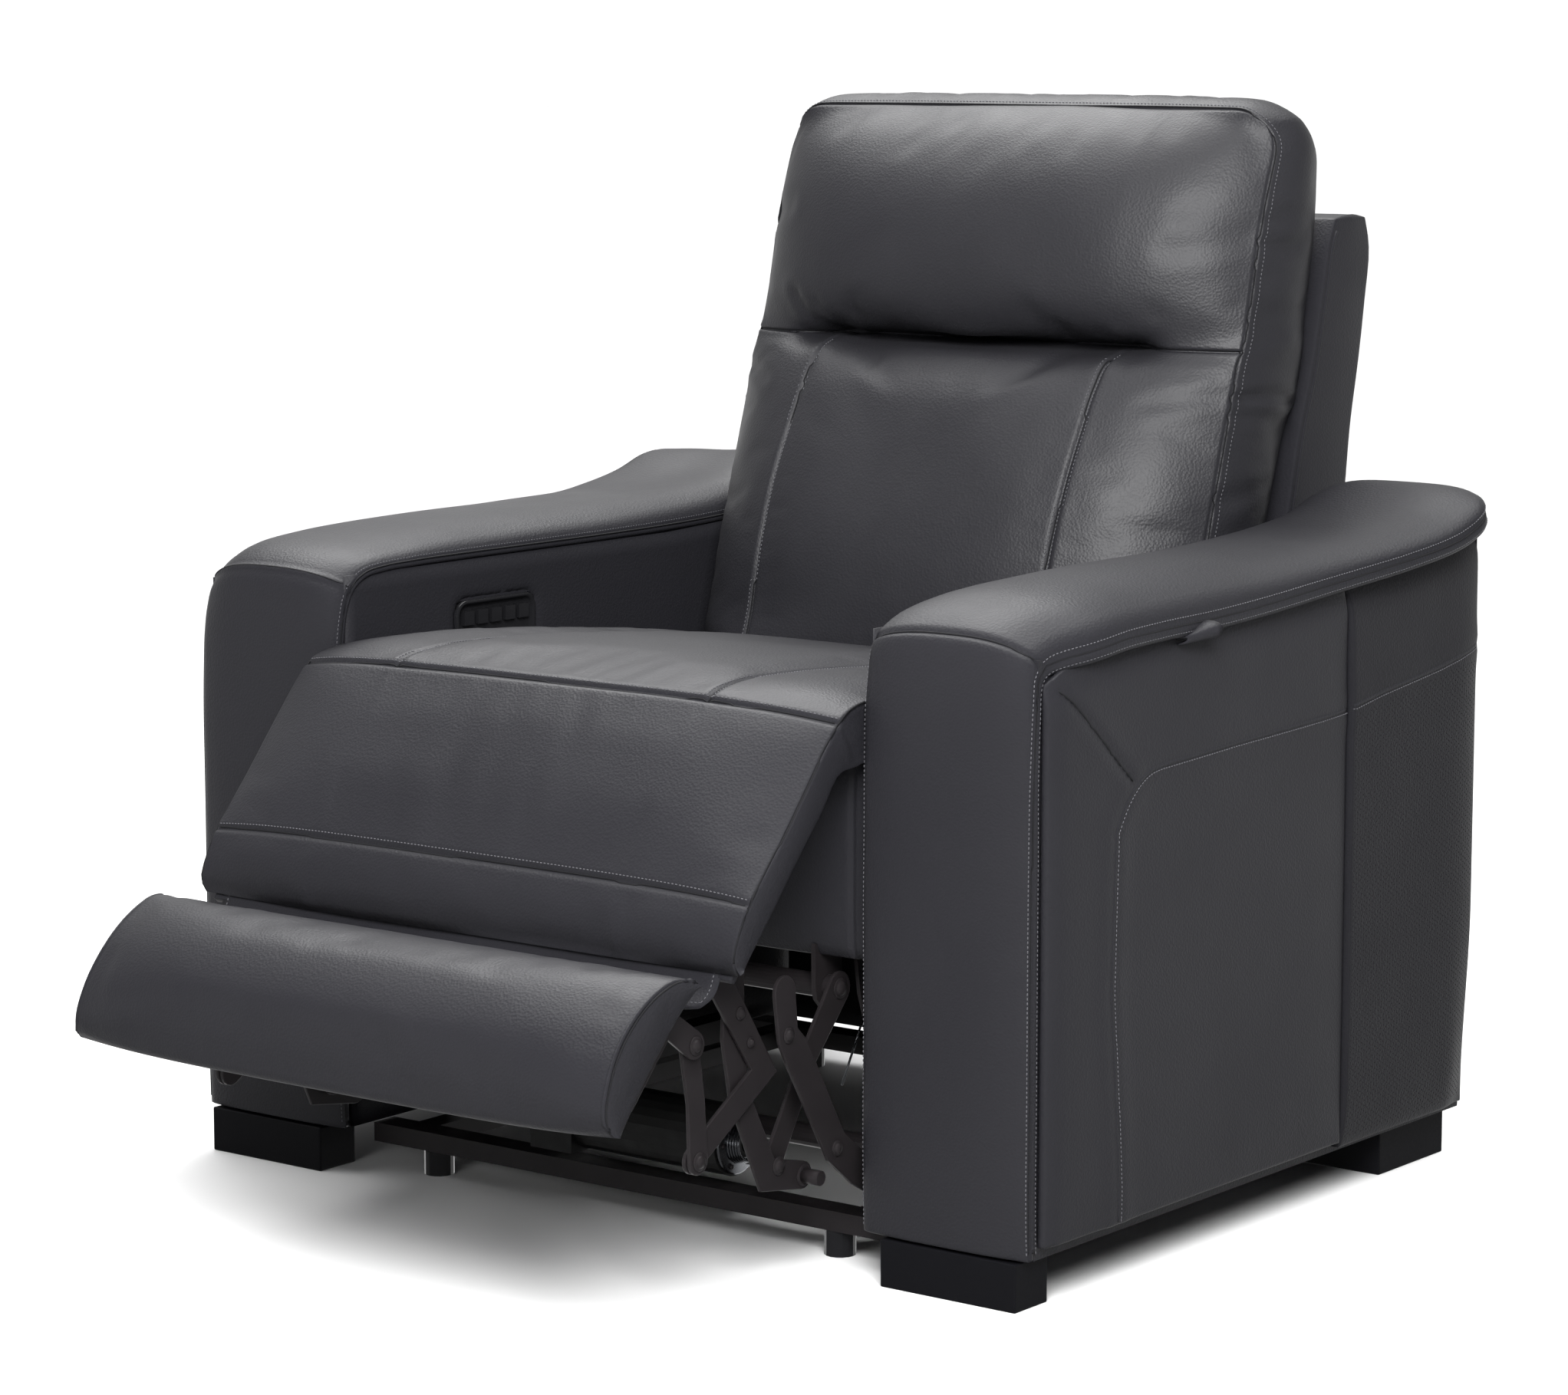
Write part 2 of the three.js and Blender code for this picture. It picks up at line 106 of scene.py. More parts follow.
CAMERA_PLACE = (2770.8, -3302.1, 1134.7)
CAMERA_AZIMUTH, CAMERA_ELEVATION = 37.7, 8.3
CAMERA_LENS, CAMERA_REACH = 106.26, 140
FLOOR_HALF = 45
BRIGHT_SIDE = (-0.61, 0.79, 0.02)
WORLD_STRENGTH = (0.085, 1.05)
HIGH_SHARE = 0.5
OVERHEAD_STRENGTH, OVERHEAD_SPREAD = 3.45, 70
OVERHEAD_TILT = (-8, -6)
# each area light's place, target and size in metres
KEY_LIGHT = ((2.1, -2.6, 2.65), (0, 0.1, 0.8), (1.9, 1.9))
FRONT_LIGHT = ((0.6, -4.2, 1.4), (0, 0, 0.4), (1.6, 1.2))
REAR_LIGHT = ((-1.7, 1.4, 3.3), (0, 0, 0.6), (2.0, 2.0))
KEY_POWER, HIGHLIGHT_POWER, FRONT_POWER, REAR_POWER = 320, 330, 35, 60


def link_object(name, data):
    made = bpy.data.objects.new(name, data)
    bpy.context.scene.collection.objects.link(made)
    return made


def add_camera():
    camera = link_object("camera", bpy.data.cameras.new("camera"))
    camera.data.lens = CAMERA_LENS
    camera.data.clip_end = CAMERA_REACH
    camera.location = place(CAMERA_PLACE)
    camera.rotation_euler = (math.radians(90 - CAMERA_ELEVATION), 0, math.radians(CAMERA_AZIMUTH))
    bpy.context.scene.camera = camera


def add_area_light(name, location, target, size, power):
    light = bpy.data.lights.new(name, "AREA")
    light.shape = "RECTANGLE"
    light.size, light.size_y = size
    light.energy = power
    lamp = link_object(name, light)
    lamp.location = location
    lamp.rotation_euler = (Vector(target) - Vector(location)).to_track_quat("-Z", "Y").to_euler()
    return lamp


def add_back_highlight(cushion):
    """The key light's soft reflection, kept to the back cushion."""
    lamp = add_area_light("back_highlight", *KEY_LIGHT, HIGHLIGHT_POWER)
    lamp.visible_diffuse = False
    receivers = bpy.data.collections.new("highlight_receivers")
    receivers.objects.link(cushion)
    lamp.light_linking.receiver_collection = receivers


def add_world():
    """Soft white surroundings, brightest low down behind the chair, and white along the horizon."""
    world = bpy.data.worlds.new("studio")
    world.use_nodes = True
    tree = world.node_tree
    direction = add_node(tree, "ShaderNodeTexCoord").outputs["Generated"]
    facing = add_node(tree, "ShaderNodeVectorMath", {"operation": "DOT_PRODUCT"})
    facing.inputs[1].default_value = BRIGHT_SIDE
    tree.links.new(direction, facing.inputs[0])
    split = add_node(tree, "ShaderNodeSeparateXYZ")
    tree.links.new(direction, split.inputs[0])
    height = split.outputs["Z"]
    lobe = ramp_between(tree, facing.outputs["Value"], *WORLD_STRENGTH, 0.15, 0.88)
    fade = ramp_between(tree, height, 1.0, HIGH_SHARE, 0.02, 0.16)
    below = ramp_between(tree, height, 0.0, 1.0, -0.08, -0.06)
    above = ramp_between(tree, height, 1.0, 0.0, 0.0, 0.03)
    surroundings = combine(tree, "MULTIPLY", lobe, fade)
    horizon = combine(tree, "MULTIPLY", below, above)
    background = tree.nodes["Background"]
    background.inputs["Color"].default_value = (1, 1, 1, 1)
    tree.links.new(combine(tree, "MAXIMUM", surroundings, horizon), background.inputs["Strength"])
    bpy.context.scene.world = world


def add_lights():
    add_world()
    key = add_area_light("key_soft", *KEY_LIGHT, KEY_POWER)
    front = add_area_light("front_soft", *FRONT_LIGHT, FRONT_POWER)
    for lamp in (key, front):
        lamp.visible_glossy = False
    add_area_light("rear_soft", *REAR_LIGHT, REAR_POWER)
    sun = bpy.data.lights.new("overhead", "SUN")
    sun.energy = OVERHEAD_STRENGTH
    sun.angle = math.radians(OVERHEAD_SPREAD)
    lamp = link_object("overhead", sun)
    lamp.rotation_euler = (*np.radians(OVERHEAD_TILT), 0)
    bpy.context.scene.view_settings.view_transform = "Standard"


def add_floor():
    corners = [(x * FLOOR_HALF, y * FLOOR_HALF, 0) for x, y in ((-1, -1), (1, -1), (1, 1), (-1, 1))]
    floor = new_piece("floor", corners, [(0, 1, 2, 3)], floor_material())
    floor.visible_glossy = False


# ---- materials ----------------------------------------------------------------------------


def new_material(name, color, roughness, metallic=0.0, specular=0.5):
    material = bpy.data.materials.new(name)
    material.use_nodes = True
    shader = material.node_tree.nodes["Principled BSDF"]
    shader.inputs["Base Color"].default_value = (*color, 1)
    shader.inputs["Roughness"].default_value = roughness
    shader.inputs["Metallic"].default_value = metallic
    shader.inputs["Specular IOR Level"].default_value = specular
    return material, material.node_tree, shader


def add_node(tree, kind, settings=None, **inputs):
    node = tree.nodes.new(kind)
    for key, value in (settings or {}).items():
        setattr(node, key, value)
    for key, value in inputs.items():
        node.inputs[key.replace("_", " ")].default_value = value
    return node


def ramp_between(tree, factor, low, high, start=0.0, end=1.0):
    ramp = add_node(tree, "ShaderNodeMapRange", None, From_Min=start, From_Max=end, To_Min=low, To_Max=high)
    tree.links.new(factor, ramp.inputs["Value"])
    return ramp.outputs["Result"]


def combine(tree, operation, first, second):
    """Two values joined by a sum of the given kind."""
    node = add_node(tree, "ShaderNodeMath", {"operation": operation})
    tree.links.new(first, node.inputs[0])
    tree.links.new(second, node.inputs[1])
    return node.outputs[0]


def mix_colors(tree, factor, first, second):
    mix = add_node(tree, "ShaderNodeMix", {"data_type": "RGBA"})
    mix.inputs["A"].default_value = (*first, 1)
    mix.inputs["B"].default_value = (*second, 1)
    tree.links.new(factor, mix.inputs["Factor"])
    return mix.outputs["Result"]


def texture(tree, output, kind="ShaderNodeTexNoise", settings=None, **inputs):
    """The given output of a texture laid out in the object's own coordinates."""
    node = add_node(tree, kind, settings, **inputs)
    tree.links.new(add_node(tree, "ShaderNodeTexCoord").outputs["Object"], node.inputs["Vector"])
    return node.outputs[output]


def bump(tree, height, strength, distance, under=None):
    """A bumpy normal, over another one if given."""
    node = add_node(tree, "ShaderNodeBump", None, Strength=strength, Distance=distance)
    tree.links.new(height, node.inputs["Height"])
    if under is not None:
        tree.links.new(under, node.inputs["Normal"])
    return node.outputs["Normal"]


def plug(tree, shader, color, roughness, normal):
    for socket, output in (("Base Color", color), ("Roughness", roughness), ("Normal", normal)):
        tree.links.new(output, shader.inputs[socket])


def leather_material(name, color, specular):
    """Pebbled grain over fine pores, with slow changes of tone and gloss."""
    material, tree, shader = new_material(name, color, 0.45, specular=specular)
    smooth = {"feature": "SMOOTH_F1"}
    pebble = texture(tree, "Distance", "ShaderNodeTexVoronoi", smooth, Scale=400, Smoothness=0.5)
    pores = texture(tree, "Fac", Scale=1300, Detail=3, Roughness=0.6)
    tone = texture(tree, "Fac", Scale=5, Detail=4, Roughness=0.55)
    dark, light = (tuple(c * share for c in color) for share in (0.88, 1.12))
    gloss = ramp_between(tree, tone, 0.42, 0.56, 0.3, 0.7)
    grain = bump(tree, pebble, 0.45, 0.0006)
    plug(tree, shader, mix_colors(tree, tone, dark, light), gloss, bump(tree, pores, 0.16, 0.0003, grain))
    return material


def metal_material(name, color, roughness, metallic):
    material, tree, shader = new_material(name, color, roughness, metallic)
    wear = texture(tree, "Fac", Scale=38, Detail=6, Roughness=0.65)
    orange_peel = texture(tree, "Fac", Scale=520, Detail=2)
    gloss = ramp_between(tree, wear, roughness * 0.8, roughness * 1.35, 0.3, 0.7)
    light = tuple(min(1, c * 1.5 + 0.004) for c in color)
    plug(tree, shader, mix_colors(tree, wear, color, light), gloss, bump(tree, orange_peel, 0.1, 0.0002))
    return material


def plain_material(name, color, roughness, bump_scale, bump_strength=0.15, specular=0.5):
    material, tree, shader = new_material(name, color, roughness, 0.0, specular)
    speckle = texture(tree, "Fac", Scale=bump_scale, Detail=4, Roughness=0.6)
    gloss = ramp_between(tree, speckle, roughness * 0.85, roughness * 1.15)
    tone = mix_colors(tree, speckle, color, tuple(c * 1.25 for c in color))
    plug(tree, shader, tone, gloss, bump(tree, speckle, bump_strength, 0.0003))
    return material


def floor_material():
    material, tree, shader = new_material("floor", (0.86, 0.86, 0.86), 0.85)
    speckle = texture(tree, "Fac", Scale=40, Detail=3)
    tree.links.new(ramp_between(tree, speckle, 0.8, 0.9), shader.inputs["Roughness"])
    return material


LEATHER_COLOR = (0.0152, 0.015, 0.0178)
LEATHER = leather_material("leather", LEATHER_COLOR, 0.34)
PERFORATED = leather_material("perforated_leather", tuple(c * 0.8 for c in LEATHER_COLOR), 0.24)
THREAD = plain_material("thread", (0.075, 0.075, 0.082), 0.6, 900)
# painted shade: near-black matte finish for the thin lines sunk in seams and creases, and for the dots that
# stand for the perforations
SEAM_SHADOW = plain_material("seam_shadow", (0.008, 0.008, 0.009), 0.8, 700)
STEEL = metal_material("painted_steel", (0.014, 0.012, 0.013), 0.36, 0.3)
MOTOR = metal_material("motor_black", (0.004, 0.004, 0.004), 0.55, 0.0)
CHROME = metal_material("bright_steel", (0.3, 0.31, 0.33), 0.25, 1.0)
GLOSS = plain_material("gloss_plastic", (0.008, 0.008, 0.009), 0.18, 300, 0.05)
FOOT = plain_material("black_foot", (0.004, 0.004, 0.005), 0.6, 260, specular=0.15)
CLOTH = plain_material("dust_cloth", (0.008, 0.008, 0.009), 0.9, 1500, 0.5, 0.2)

# ---- mesh helpers -------------------------------------------------------------------------


def new_piece(name, points, faces, material):
    mesh = bpy.data.meshes.new(name)
    mesh.from_pydata([tuple(p) for p in points], [], faces)
    mesh.materials.append(material)
    mesh.polygons.foreach_set("use_smooth", [True] * len(mesh.polygons))
    mesh.update()
    return link_object(name, mesh)


def closed_piece(name, points, faces, material):
    """A new piece with its faces turned outwards and no loose points."""
    piece = new_piece(name, points, faces, material)
    shape = bmesh.new()
    shape.from_mesh(piece.data)
    bmesh.ops.delete(shape, geom=[v for v in shape.verts if not v.link_faces], context="VERTS")
    bmesh.ops.recalc_face_normals(shape, faces=shape.faces)
    shape.to_mesh(piece.data)
    shape.free()
    return piece


def ring_quads(rings, count, start=0):
    """Quads between each ring of points and the next."""
    quads = []
    for level in range(start, start + (rings - 1) * count, count):
        for i in range(count):
            a, b = level + i, level + (i + 1) % count
            quads.append((a, b, b + count, a + count))
    return quads


def ring_faces(rings, count, start=0):
    """The same, with a cap on both ends."""
    first = tuple(range(start, start + count))
    last = tuple(i + (rings - 1) * count for i in first)
    return ring_quads(rings, count, start) + [first, last]


def block_grid(us, vs, ws):
    """Grid points and quads on the six faces of a block whose lines are us, vs and ws."""
    us, vs, ws = (np.asarray(lines, float) for lines in (us, vs, ws))
    index, params, quads = {}, [], []

    def corner(i, j, k):
        key = (i, j, k)
        if key not in index:
            index[key] = len(params)
            params.append((us[i], vs[j], ws[k]))
        return index[key]

    last = (len(us) - 1, len(vs) - 1, len(ws) - 1)
    for fixed in range(3):
        first, second = [axis for axis in range(3) if axis != fixed]
        for level in (0, last[fixed]):
            for a in range(last[first]):
                for b in range(last[second]):
                    ring = []
                    for da, db in ((0, 0), (1, 0), (1, 1), (0, 1)):
                        key = [level] * 3
                        key[first], key[second] = a + da, b + db
                        ring.append(corner(*key))
                    quads.append(ring)
    return np.array(params), quads


def lines(low, high, step, fine_at=(), fine=(1.5, 3.5, 6.0, 9.5)):
    """Grid lines from low to high, closer together beside each place in fine_at."""
    values = list(np.linspace(low, high, max(2, round((high - low) / step)) + 1))
    for centre in fine_at:
        kept = [v for v in values if abs(v - centre) > fine[-1] * 1.25 or v in (low, high)]
        values = kept + [centre] + [centre + side * f for f in fine for side in (1, -1)]
    inside = {round(float(v), 4) for v in values if low <= v <= high}
    return sorted(inside | {float(low), float(high)})


def shares(low, high, *spacing):
    """Grid lines from low to high, as shares of high."""
    return [value / high for value in lines(low, high, *spacing)]


def curve_at(table, t):
    """Smooth values at t from rows of (t, value, ...)."""
    table = np.asarray(table, float)
    knots, values = table[:, 0], table[:, 1:]
    slopes = np.gradient(values, knots, axis=0)
    t = np.asarray(t, float)
    i = np.clip(np.searchsorted(knots, t, side="right") - 1, 0, len(knots) - 2)
    width = (knots[i + 1] - knots[i])[..., None]
    s = np.clip((t - knots[i])[..., None] / width, 0, 1)
    start, end = values[i], values[i + 1]
    return (start * (2 * s**3 - 3 * s**2 + 1) + end * (3 * s**2 - 2 * s**3)
            + width * (slopes[i] * (s**3 - 2 * s**2 + s) + slopes[i + 1] * (s**3 - s**2)))


def smoothstep(low, high, t):
    s = np.clip((np.asarray(t, float) - low) / (high - low), 0, 1)
    return s * s * (3 - 2 * s)


def bell(distance, width):
    return np.exp(-((np.asarray(distance) / width) ** 2))


def mesh_points(piece):
    co = np.empty(len(piece.data.vertices) * 3)
    piece.data.vertices.foreach_get("co", co)
    return co.reshape(-1, 3)


def set_mesh_points(piece, co):
    piece.data.vertices.foreach_set("co", co.reshape(-1))
    piece.data.update()


def mesh_normals(piece):
    normals = np.empty(len(piece.data.vertices) * 3)
    piece.data.vertex_normals.foreach_get("vector", normals)
    return normals.reshape(-1, 3)


def soften(piece, rounds):
    """Rounds off edges: each point moves towards its neighbours, the near ones most."""
    co = mesh_points(piece)
    edges = np.empty(len(piece.data.edges) * 2, int)
    piece.data.edges.foreach_get("vertices", edges)
    a, b = edges.reshape(-1, 2).T
    for _ in range(rounds):
        pull = 1 / np.maximum(np.linalg.norm(co[a] - co[b], axis=1), 1e-5)
        total = np.zeros(len(co))
        moved = np.zeros_like(co)
        for here, there in ((a, b), (b, a)):
            np.add.at(total, here, pull)
            np.add.at(moved, here, co[there] * pull[:, None])
        co = co * 0.5 + moved / total[:, None] * 0.5
    set_mesh_points(piece, co)


def raise_relief(piece, heights):
    """Moves each point along its normal by a height in millimetres."""
    set_mesh_points(piece, mesh_points(piece) + mesh_normals(piece) * np.asarray(heights)[:, None] * MM)


def block_piece(name, grid, shape, material, rounds=5, relief=None, held=None, **puff):
    """A closed block of cloth: shaped, softened, blown up between its held lines, then embossed."""
    params, quads = block_grid(*grid)
    piece = closed_piece(name, place(np.stack(shape(*params.T), axis=-1)), quads, material)
    soften(piece, rounds)
    if held is not None:
        inflate(piece, held(*params.T), **puff)
    if relief is not None:
        raise_relief(piece, relief(*params.T))
    return piece


def distance_to_path(y, z, path):
    """Shortest distance from each point (y, z) to a path of points."""
    best = np.full(np.shape(y), 1e9)
    path = np.asarray(path, float)
    for start, end in zip(path[:-1], path[1:]):
        step = end - start
        t = np.clip(((y - start[0]) * step[0] + (z - start[1]) * step[1]) / (step @ step), 0, 1)
        best = np.minimum(best, np.hypot(y - start[0] - t * step[0], z - start[1] - t * step[1]))
    return best


def unit(rows):
    return rows / np.maximum(np.linalg.norm(rows, axis=1, keepdims=True), 1e-9)


def between(table, v, share):
    """(y, z) of a face: share 0 at the middle and 1 at the edge, from rows (v, y, z, edge y, edge z)."""
    row = curve_at(table, v)
    face = row[..., :2] + (row[..., 2:] - row[..., :2]) * share[..., None]
    return face[..., 0], face[..., 1]


def rounded(p, q):
    """Rounds the corner of the quarter where p and q both reach from 0 to 1."""
    inside = (p > 0) & (q > 0)
    pc, qc = np.clip(p, 0, 1), np.clip(q, 0, 1)
    return (np.where(inside, pc * np.sqrt(1 - qc**2 / 2), p),
            np.where(inside, qc * np.sqrt(1 - pc**2 / 2), q))


def path_of(x, y, z):
    """Points along a path, from coordinates of which some may be single numbers."""
    return np.stack(np.broadcast_arrays(x, y, z), axis=-1)


def resample(points, pitch):
    """Evenly spaced points along a path."""
    points = np.asarray(points, float)
    lengths = np.r_[0, np.cumsum(np.linalg.norm(np.diff(points, axis=0), axis=1))]
    count = max(2, int(lengths[-1] / pitch) + 1)
    stops = np.linspace(0, lengths[-1], count)
    return np.stack([np.interp(stops, lengths, points[:, axis]) for axis in range(3)], axis=1)


def ruffle(seed, count, low, high, size):
    """A smooth irregular wave along a line, of about the given size."""
    picks = np.random.default_rng(seed)
    waves = [(picks.uniform(low, high), picks.uniform(0, 6.28), picks.uniform(0.4, 1)) for _ in range(count)]
    return lambda t: size * sum(a * np.sin(t * f + p) for f, p, a in waves) / count


# ---- seams: a thread is a row of small spindles lying on a piece ---------------------------

STITCH_PITCH, STITCH_LENGTH = 4.2, 3.0


def on_surface(piece, points):
    found = [piece.closest_point_on_mesh(Vector(p)) for p in points]
    return np.array([f[1] for f in found]), np.array([f[2] for f in found])


def stitch_rows(name, piece, paths, offsets=(0,), thickness=0.55):
    """Stitches along paths (drawing millimetres) snapped to the piece, one row at each offset."""
    points, faces = [], []
    ring = [(1, 0), (0, 1), (-1, 0), (0, -1)]
    for path in paths:
        centre, normal = on_surface(piece, resample(place(path), STITCH_PITCH * MM))
        across = np.cross(normal, unit(np.gradient(centre, axis=0)))
        for offset in offsets:
            here, up = on_surface(piece, centre + across * offset * MM)
            heading = unit(np.gradient(here, axis=0))
            for p, n, h, s in zip(here, up, heading, np.cross(up, heading)):
                base = len(points)
                half = h * STITCH_LENGTH / 2 * MM
                lift = p + n * thickness * 0.45 * MM
                points.append(p - half)
                for shift in (-0.55, 0.55):
                    points.extend(
                        lift + half * shift + (s * a + n * b) * thickness * MM for a, b in ring)
                points.append(p + half)
                faces += ring_quads(2, 4, base + 1)
                for i in range(4):
                    j = (i + 1) % 4
                    faces.append((base, base + 1 + i, base + 1 + j))
                    faces.append((base + 5 + i, base + 9, base + 5 + j))
    return closed_piece(name, points, faces, THREAD)


def tube(name, path, radius, material, sides=8, flat=1.0, up=None):
    """A round or flattened tube along a path in frame metres."""
    path = np.asarray(path, float)
    heading = unit(np.gradient(path, axis=0))
    guide = np.tile([0, 0, 1.0], (len(path), 1)) if up is None else np.asarray(up, float)
    side = np.cross(guide, heading)
    weak = np.linalg.norm(side, axis=1) < 1e-3
    side[weak] = np.cross([1.0, 0, 0], heading[weak])
    side = unit(side)
    points = []
    for p, s, r in zip(path, side, np.cross(heading, side)):
        for i in range(sides):
            angle = 2 * math.pi * i / sides
            points.append(p + (s * math.cos(angle) + r * math.sin(angle) * flat) * radius * MM)
    return closed_piece(name, points, ring_faces(len(path), sides), material)


def welt(name, piece, path, radius, sink=0.35, flat=0.8, material=LEATHER):
    """A cord part sunk in a piece along a path in drawing millimetres."""
    centre, normal = on_surface(piece, resample(place(path), 6 * MM))
    line = centre - normal * radius * sink * MM
    return tube(name, line, radius, material, 10, flat, normal)


def seam_shadow_line(name, piece, path, radius=0.9):
    """The dark line of painted shadow in the groove where two panels of leather meet, or along a crease."""
    line = welt(name, piece, path, radius, 0.1, 0.7, SEAM_SHADOW)
    return line


def ride_all(body, *pieces):
    for piece in pieces:
        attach(piece, body)


# ---- inflation: cloth run on an even copy of a cushion, then carried back to it --------------

CLOTH_FRAMES = 16


def even_copy(piece, voxel):
    remesh = piece.modifiers.new("even", "REMESH")
    remesh.mode = "VOXEL"
    remesh.voxel_size = voxel * MM
    graph = bpy.context.evaluated_depsgraph_get()
    mesh = bpy.data.meshes.new_from_object(piece.evaluated_get(graph))
    piece.modifiers.remove(remesh)
    return link_object(piece.name + "_cloth", mesh)


def cloth_moves(copy, pinned, pressure, stretch):
    """How far each point of the copy moves when it is blown up like a cushion."""
    rest = mesh_points(copy)
    group = copy.vertex_groups.new(name="seams")
    group.add([int(i) for i in np.nonzero(pinned)[0]], 1.0, "REPLACE")
    cloth = copy.modifiers.new("inflate", "CLOTH")
    settings = cloth.settings
    settings.vertex_group_mass = "seams"
    settings.use_pressure = True
    settings.uniform_pressure_force = pressure
    settings.effector_weights.gravity = 0
    settings.shrink_min = -stretch
    settings.shrink_max = -stretch
    settings.quality = 5
    settings.tension_stiffness = settings.compression_stiffness = 12
    settings.bending_stiffness = 1.2
    scene = bpy.context.scene
    cloth.point_cache.frame_start, cloth.point_cache.frame_end = 1, CLOTH_FRAMES
    for number in range(1, CLOTH_FRAMES + 1):
        scene.frame_set(number)
    graph = bpy.context.evaluated_depsgraph_get()
    blown = copy.evaluated_get(graph)
    moved = np.empty(len(rest) * 3)
    blown.data.vertices.foreach_get("co", moved)
    scene.frame_set(1)
    return rest, moved.reshape(-1, 3) - rest


def inflate(piece, held, voxel=7.0, pressure=3.0, stretch=0.006, cap=10.0):
    """Puffs a piece up between the points marked in held, by at most cap millimetres."""
    co = mesh_points(piece)
    copy = even_copy(piece, voxel)
    seams = KDTree(int(held.sum()))
    for i, point in enumerate(co[held]):
        seams.insert(point, i)
    seams.balance()
    rest = mesh_points(copy)
    near = np.array([seams.find(Vector(point))[2] for point in rest])
    rest, moves = cloth_moves(copy, near < voxel * 0.8 * MM, pressure, stretch)
    length = np.linalg.norm(moves, axis=1, keepdims=True)
    moves *= np.minimum(1, cap * MM / np.maximum(length, 1e-9))
    tree = KDTree(len(rest))
    for i, point in enumerate(rest):
        tree.insert(point, i)
    tree.balance()
    carried = np.zeros_like(co)
    for i, point in enumerate(co):
        found = tree.find_n(Vector(point), 5)
        weights = np.array([1 / (hit[2] + 1e-3) for hit in found])
        carried[i] = weights @ moves[[hit[1] for hit in found]] / weights.sum()
    gap = np.array([seams.find(Vector(point))[2] for point in co]) / MM
    carried *= smoothstep(0, 14, gap)[:, None]
    set_mesh_points(piece, co + carried)
    bpy.data.objects.remove(copy)


# ---- back: one leather cushion over the lumbar and head sections ---------------------------

BACK_HALF = 305
# share of the way up, then y and z at the middle and at the side seam
BACK_FRONT = [
    (0.0, 432, 486, 540, 488), (0.08, 447, 530, 551, 530), (0.16, 456, 578, 563, 578),
    (0.26, 473, 630, 578, 630), (0.36, 494, 678, 592, 678), (0.46, 521, 728, 608, 730),
    (0.55, 549, 773, 622, 775), (0.6, 571, 797, 630, 798), (0.63, 590, 808, 635, 807),
    (0.66, 586, 819, 640, 818), (0.7, 574, 840, 647, 840), (0.76, 570, 875, 655, 875),
    (0.82, 576, 915, 664, 915), (0.88, 592, 960, 677, 960), (0.93, 616, 998, 691, 998),
    (0.97, 648, 1030, 702, 1026), (1.0, 690, 1050, 692, 1048)]
# share of the way up, then y and z
BACK_REAR = [
    (0.00, 662, 488), (0.16, 680, 578), (0.26, 696, 632), (0.36, 712, 680), (0.46, 730, 728),
    (0.53, 750, 758), (0.60, 762, 798), (0.70, 766, 842), (0.82, 780, 915), (0.90, 784, 968),
    (0.97, 780, 1024), (1.00, 768, 1048)]
BACK_LENGTH = 640
CREASE = 0.635
CREASE_DEPTH, CREASE_WIDTH = 50, 12
BACK_CORNER = 44
SEAM_X = 181


def round_corner(a, b, size_a, size_b, radius):
    """Rounds the far corners of a panel that spans -1..1 and 0..1."""
    flat_a, flat_b = size_a - radius, size_b - radius
    p, q = rounded((np.abs(a) * size_a - flat_a) / radius, (b * size_b - flat_b) / radius)
    return np.sign(a) * (p * radius + flat_a) / size_a, (q * radius + flat_b) / size_b


def back_front(x, v):
    """(y, z) of the back cushion's front face."""
    t = np.clip(np.abs(x) / BACK_HALF, 0, 1)
    y, z = between(BACK_FRONT, v, 0.88 * t**4.4 + 0.12 * t**2)
    depth = CREASE_DEPTH * (1 - smoothstep(165, 245, np.abs(x)))
    return y + depth * bell((v - CREASE) * BACK_LENGTH, CREASE_WIDTH), z


def back_shape(u, v, w):
    a, b = round_corner(u, v, BACK_HALF, BACK_LENGTH, BACK_CORNER)
    x = a * BACK_HALF
    y, z = back_front(x, b)
    rear = curve_at(BACK_REAR, b)
    y = y + (rear[..., 0] - y) * w
    z = z + (rear[..., 1] - z) * w
    swell = np.sin(np.pi * w)
    x = x + np.sign(u) * swell * 14 * np.abs(u) ** 12 - np.sign(x) * w * 6 * np.abs(u) ** 4
    z = z + swell * 12 * np.clip(v, 0, 1) ** 30 * (1 - 0.5 * u**6)
    return x, y, z


def back_rim(w):
    """The edge of the front face, or a line w of the way from there to the rear."""
    rise, across = np.linspace(0.02, 0.985, 110), np.linspace(-0.96, 0.96, 90)
    parts = ((-1, rise), (across, 1), (1, rise[::-1]))
    return np.concatenate([path_of(*back_shape(u, v, w)) for u, v in parts])


def back_crease(side):
    x = np.linspace(150, BACK_HALF - 1, 30) * side
    return path_of(x, *back_front(x, CREASE))


def back_seam(side):
    return path_of(side * SEAM_X, *back_front(side * SEAM_X, np.linspace(0.02, 0.612, 60)))


# folds in the leather: where (across, up), how deep and how wide, in millimetres
BACK_FOLDS = [
    (((-176, 408), (-206, 432), (-226, 462)), 3.0, 8), (((-168, 410), (-190, 446)), 1.8, 10),
    (((188, 412), (222, 424)), 1.6, 9), (((236, 520), (296, 528)), 1.4, 11),
    (((246, 552), (298, 540)), 1.1, 11), (((238, 330), (298, 342)), 1.3, 11),
    (((-298, 345), (-250, 336)), 1.6, 9), (((-300, 540), (-252, 548)), 1.8, 10)]
SIDE_FOLDS = [
    (((4, 528), (34, 521), (62, 526)), 2.6, 6), (((6, 545), (40, 552)), 1.6, 7),
    (((4, 336), (40, 344), (84, 330)), 2.8, 7), (((6, 318), (52, 308)), 1.8, 8),
    (((10, 452), (60, 446)), 1.2, 12), (((8, 210), (60, 222)), 1.4, 12)]


def folds_relief(a, b, folds):
    return sum(depth * (0.5 * bell(distance_to_path(a, b, path) - width * 1.7, width)
                        - bell(distance_to_path(a, b, path), width)) for path, depth, width in folds)


